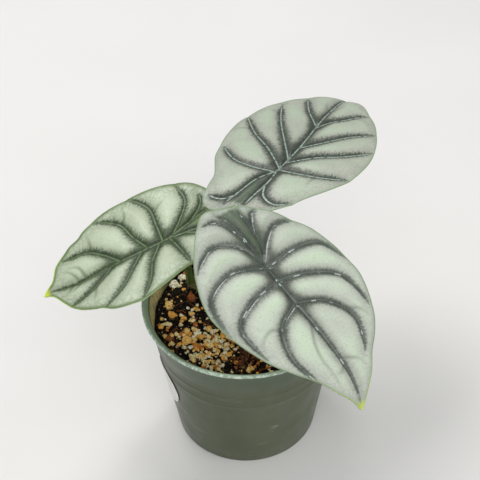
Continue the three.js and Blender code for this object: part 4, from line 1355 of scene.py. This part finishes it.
def make_soil_mix():
    material, recipe, shader = new_material("dark potting mix")
    place = recipe.place()
    colour = blotches(recipe, place, 420.0, (6, 4, 3), (22, 13, 8))
    fleck = recipe.fade(recipe.noise(place, 1500), 0.66, 0.71)
    crumb = recipe.fade(recipe.noise(place, 1000, roughness=0.6), 0.68, 0.71)
    recipe.fill(shader, {
        "Base Color": recipe.tint(recipe.tint(colour, (116, 76, 38), fleck), (226, 196, 146), crumb),
        "Roughness": 0.85,
        "Specular IOR Level": 0.2,
        "Normal": fine_grain(recipe, place, 1100.0, 0.0006),
    })
    return material


bm = bmesh.new()
bmesh.ops.create_grid(bm, x_segments=SOIL_GRID, y_segments=SOIL_GRID, size=1)
rim_edges = [edge for edge in bm.edges if edge.is_boundary]
edge_radius = pot_outside(SOIL_EDGE + 1) - POT_WALL - SOIL_GAP
for vert in bm.verts:
    x, y = (edge_radius * value for value in press_round(vert.co.x, vert.co.y))
    vert.co = (x, y, soil_surface(x, y))
drawn = bmesh.ops.extrude_edge_only(bm, edges=rim_edges)["geom"]
for vert in (item for item in drawn if isinstance(item, bmesh.types.BMVert)):
    shrink = (pot_outside(SOIL_BOTTOM) - POT_WALL - SOIL_GAP) / math.hypot(vert.co.x, vert.co.y)
    vert.co = (vert.co.x * shrink, vert.co.y * shrink, SOIL_BOTTOM)
bmesh.ops.holes_fill(bm, edges=bm.edges, sides=0)
bmesh.ops.recalc_face_normals(bm, faces=bm.faces)
finish_piece(bm, "soil_body", [make_soil_mix()], ("soil",))

# %% [markdown]
# ## Where the grit lies
# Pale grit is what the eye sees of this soil. Most of it lies in drifts in front and at the left of the
# crown, each with its place, its spread and its number of bits, and a few larger bits lie where the
# picture shows them. A bit has a kind from 0 to 1: dark bark, amber, golden, tan, cream or white. A
# seeded draw places the rest, so each run gives the same pot.

# %% Where the grit lies
DRIFTS = [
    ((-18, -16), 4.5, 85), ((-12, -14), 4, 45), ((-26, -10), 4, 30), ((-29, -13), 3, 18),
    ((-16, -25), 4, 38), ((-26, -25), 3, 24), ((-20, -30), 3, 22), ((-14, -33), 3, 12),
    ((-7, -20), 3, 16), ((4, -33), 4, 10), ((-38, -12), 3, 14), ((-42, -2), 2.5, 10),
    ((-30, -4), 3, 14), ((-36, 23), 4, 14), ((-28, 5), 3, 10), ((20, -34), 7, 40), ((0, -8), 10, 60),
    ((25, -10), 12, 70), ((5, 20), 14, 80),
]
CHOSEN_BITS = [
    ((-32.7, 26.8), 2.4, 0.97), ((-36.8, 21.5), 2.3, 0.95), ((-31.1, 18.9), 2.6, 0.22),
    ((-27.5, 11.8), 2.5, 0.2), ((-40.6, 19.6), 1.3, 0.62), ((-42, 17.2), 1.2, 0.45),
    ((-39.3, 7.9), 3.0, 0.62), ((-37.4, 2.2), 2.1, 0.42), ((-43.6, 8), 1.5, 0.97),
    ((-39.4, -2), 1.7, 0.8), ((-42.6, -2.4), 1.4, 0.85), ((-29.9, -13.4), 2.7, 0.55),
    ((-30, -7.9), 1.7, 0.6), ((-24.5, -9), 2.0, 0.95), ((-22.4, -12), 1.8, 0.5),
    ((-38.8, -13.2), 1.9, 0.18), ((-37.6, -19.1), 1.5, 0.65), ((-11.7, -30.1), 1.5, 0.9),
    ((-5, -29.5), 1.5, 0.45), ((-13.7, -32.7), 1.3, 0.7), ((3, -32.3), 1.5, 0.6),
    ((-11.6, -12.1), 1.9, 0.5), ((-18.4, -6.4), 1.6, 0.55), ((-17.7, -18), 1.9, 0.72),
]
SCATTERED = 420
SCATTER_REACH = 45
FIBRE_PATCHES = [((0, -25), 5, 60), ((-38, -12), 3, 14), ((-28, 14), 4, 16), ((-15, 0), 20, 70)]
DRIFT_KINDS = [0.3, 0.45, 0.5, 0.6, 0.68, 0.75, 0.8, 0.85, 0.92]
LOOSE_KINDS = [0.02, 0.05, 0.1, 0.15, 0.25, 0.45, 0.65, 0.85]
CROWN_ROOM = 7
STALK_ROOM = 3.2
WALL_ROOM = 0.8
STALK_FEET = [stalk_line(name)[:40, :2] for name in STALKS]


def clear_of_stems(x, y, size):
    """Whether a bit of grit misses the crown and the stalks as they leave the soil."""
    if math.hypot(x - CROWN_PLACE[0], y - CROWN_PLACE[1]) < CROWN_ROOM + size:
        return False
    return all(np.hypot(*(foot - (x, y)).T).min() > STALK_ROOM + size for foot in STALK_FEET)


def draw_bits(rng):
    """(place, half size, kind) for every bit of grit."""
    bits = list(CHOSEN_BITS)
    for (x, y), spread, count in DRIFTS:
        for _ in range(count):
            kind = rng.choice(DRIFT_KINDS) + rng.uniform(-0.05, 0.05)
            place = (rng.gauss(x, spread), rng.gauss(y, spread))
            bits.append((place, rng.triangular(0.4, 1.8, 0.8), kind))
    for _ in range(SCATTERED):
        radius, turn = SCATTER_REACH * math.sqrt(rng.random()), rng.uniform(0, math.tau)
        kind = rng.choice(LOOSE_KINDS) + rng.uniform(-0.03, 0.03)
        place = (radius * math.cos(turn), radius * math.sin(turn))
        bits.append((place, rng.triangular(0.25, 1.4, 0.4), kind))
    limit = pot_outside(SOIL_EDGE) - POT_WALL - WALL_ROOM
    return [
        bit for bit in bits
        if math.hypot(*bit[0]) + bit[1] < limit and clear_of_stems(*bit[0], bit[1])
    ]


rng = random.Random(7)
bits = draw_bits(rng)
print("Bits of grit:", len(bits))

# %% [markdown]
# ## The shape of a bit
# A bit of pumice is a lump with flat facets, and a strand of coir a thin bent rod, pointed at both ends.
# An icosphere that is squashed, turned and pushed about by a noise gives the lump, and a grid rolled up
# round a bent line the strand. Both carry two numbers for the finish: the kind, and how much painted
# shade each point gets. The lower half of a bit is painted dark, as shade where it sits down in the mix,
# and a strand is darkened a little all over.

# %% Bits and strands
def add_bit(bm, kinds, painted_shade_layer, bit, rng):
    (x, y), size, kind = bit
    squash = [size * rng.uniform(0.7, 1.15), size * rng.uniform(0.7, 1.15), size * rng.uniform(0.6, 0.95)]
    height = soil_surface(x, y) + squash[2] * 0.45
    spin, tilt = rng.uniform(0, math.tau), rng.uniform(-0.5, 0.5)
    turned = Matrix.Rotation(spin, 4, "Z") @ Matrix.Rotation(tilt, 4, "X")
    at = Matrix.Translation((x, y, height)) @ turned @ Matrix.Diagonal((*squash, 1))
    fine = 3 if size > 1.9 else 2 if size > 0.8 else 1
    ball = bmesh.ops.create_icosphere(bm, subdivisions=fine, radius=1, matrix=at)
    seed = Vector((x, y, 3 * kind))
    for vert in ball["verts"]:
        off = vert.co - Vector((x, y, height))
        # Painted shade: the lower a point sits on the bit, the darker the finish paints it.
        vert[painted_shade_layer] = 0.1 - off.z / squash[2]
        lump = 0.5 * noise.noise(vert.co * 0.9 + seed) + 0.35 * noise.noise(vert.co * 1.9 + seed)
        vert.co += off * lump
        vert[kinds] = kind


def add_fibre(bm, kinds, painted_shade_layer, place, rng):
    """A thin bent strand of coir that lies on the mix, pointed at both ends."""
    aim, bend = rng.uniform(0, math.tau), rng.uniform(-1, 1)
    half, thick, lift = rng.uniform(1.5, 5), rng.uniform(0.14, 0.3), rng.uniform(0.2, 1.2)
    kind = rng.choice([0.08, 0.12, 0.16, 0.2])
    strand = bmesh.ops.create_grid(bm, x_segments=5, y_segments=9, size=1)["verts"]
    for vert in strand:
        turn, t = vert.co.x * math.pi, vert.co.y
        x = place[0] + half * (t * math.cos(aim) - bend * t * t / 2 * math.sin(aim))
        y = place[1] + half * (t * math.sin(aim) + bend * t * t / 2 * math.cos(aim))
        radius = thick * math.sqrt(1 - t * t)
        side = Vector((-math.sin(aim + bend * t), math.cos(aim + bend * t), 0))
        middle = Vector((x, y, soil_surface(x, y) + 0.3 + lift * (1 - t * t)))
        vert.co = middle + radius * (side * math.cos(turn) + Vector((0, 0, math.sin(turn))))
        vert[kinds] = kind
        # A little painted shade over the whole strand.
        vert[painted_shade_layer] = -0.2


# %% [markdown]
# ## Grit colours
# One material serves every bit. A colour ramp over the kind goes from bark through amber, gold and tan to
# white. Small pits are rusty, and painted shade makes the low part of a bit nearly black.

# %% Grit material
KIND_COLOURS = [
    (0.0, (24, 15, 10)), (0.12, (88, 46, 20)), (0.25, (188, 104, 34)), (0.45, (250, 186, 82)),
    (0.65, (253, 218, 140)), (0.82, (255, 240, 190)), (1.0, (255, 250, 236)),
]


def make_grit_stone():
    material, recipe, shader = new_material("grit")
    place = recipe.place()
    ramp = recipe.add("ValToRGB", {"Fac": recipe.attribute("kind")})
    stops = ramp.color_ramp.elements
    for position, _ in KIND_COLOURS[1:-1]:
        stops.new(position)
    for stop, (_, colour) in zip(stops, KIND_COLOURS):
        stop.color = linear(*colour)
    pit = recipe.fade(recipe.noise(place, 1200, detail=4, roughness=0.65), 0.5, 0.62)
    colour = recipe.tint(ramp.outputs["Color"], (128, 72, 24), pit, 0.65)
    # Painted shade darkens the low part of each bit nearly to black.
    painted_shade = recipe.fade(recipe.attribute("painted_shade"), -0.35, 0.35)
    recipe.fill(shader, {
        "Base Color": recipe.tint(colour, (20, 12, 7), painted_shade, 0.9),
        "Roughness": 0.75,
        "Normal": fine_grain(recipe, place, 1700.0, 0.0003),
    })
    return material


# %% [markdown]
# ## Laying the grit
# All bits and strands go into one mesh, because they are one loose layer that nothing moves. A strand is
# drawn only where no stem stands in its way. The facets stay flat, so that broken stone looks broken.

# %% Lay the grit
STRAND_LIMIT = 41

bm = bmesh.new()
kinds = bm.verts.layers.float.new("kind")
# The second layer holds the painted shade under each bit.
painted_shade_layer = bm.verts.layers.float.new("painted_shade")
for bit in bits:
    add_bit(bm, kinds, painted_shade_layer, bit, rng)
for (x, y), spread, count in FIBRE_PATCHES:
    for _ in range(count):
        place = (rng.gauss(x, spread), rng.gauss(y, spread))
        if math.hypot(*place) < STRAND_LIMIT and clear_of_stems(*place, 3):
            add_fibre(bm, kinds, painted_shade_layer, place, rng)
bmesh.ops.remove_doubles(bm, verts=bm.verts, dist=0.0005)
bmesh.ops.recalc_face_normals(bm, faces=bm.faces)
grit = finish_piece(bm, "soil_grit", [make_grit_stone()], ("soil",))
grit.data.shade_flat()
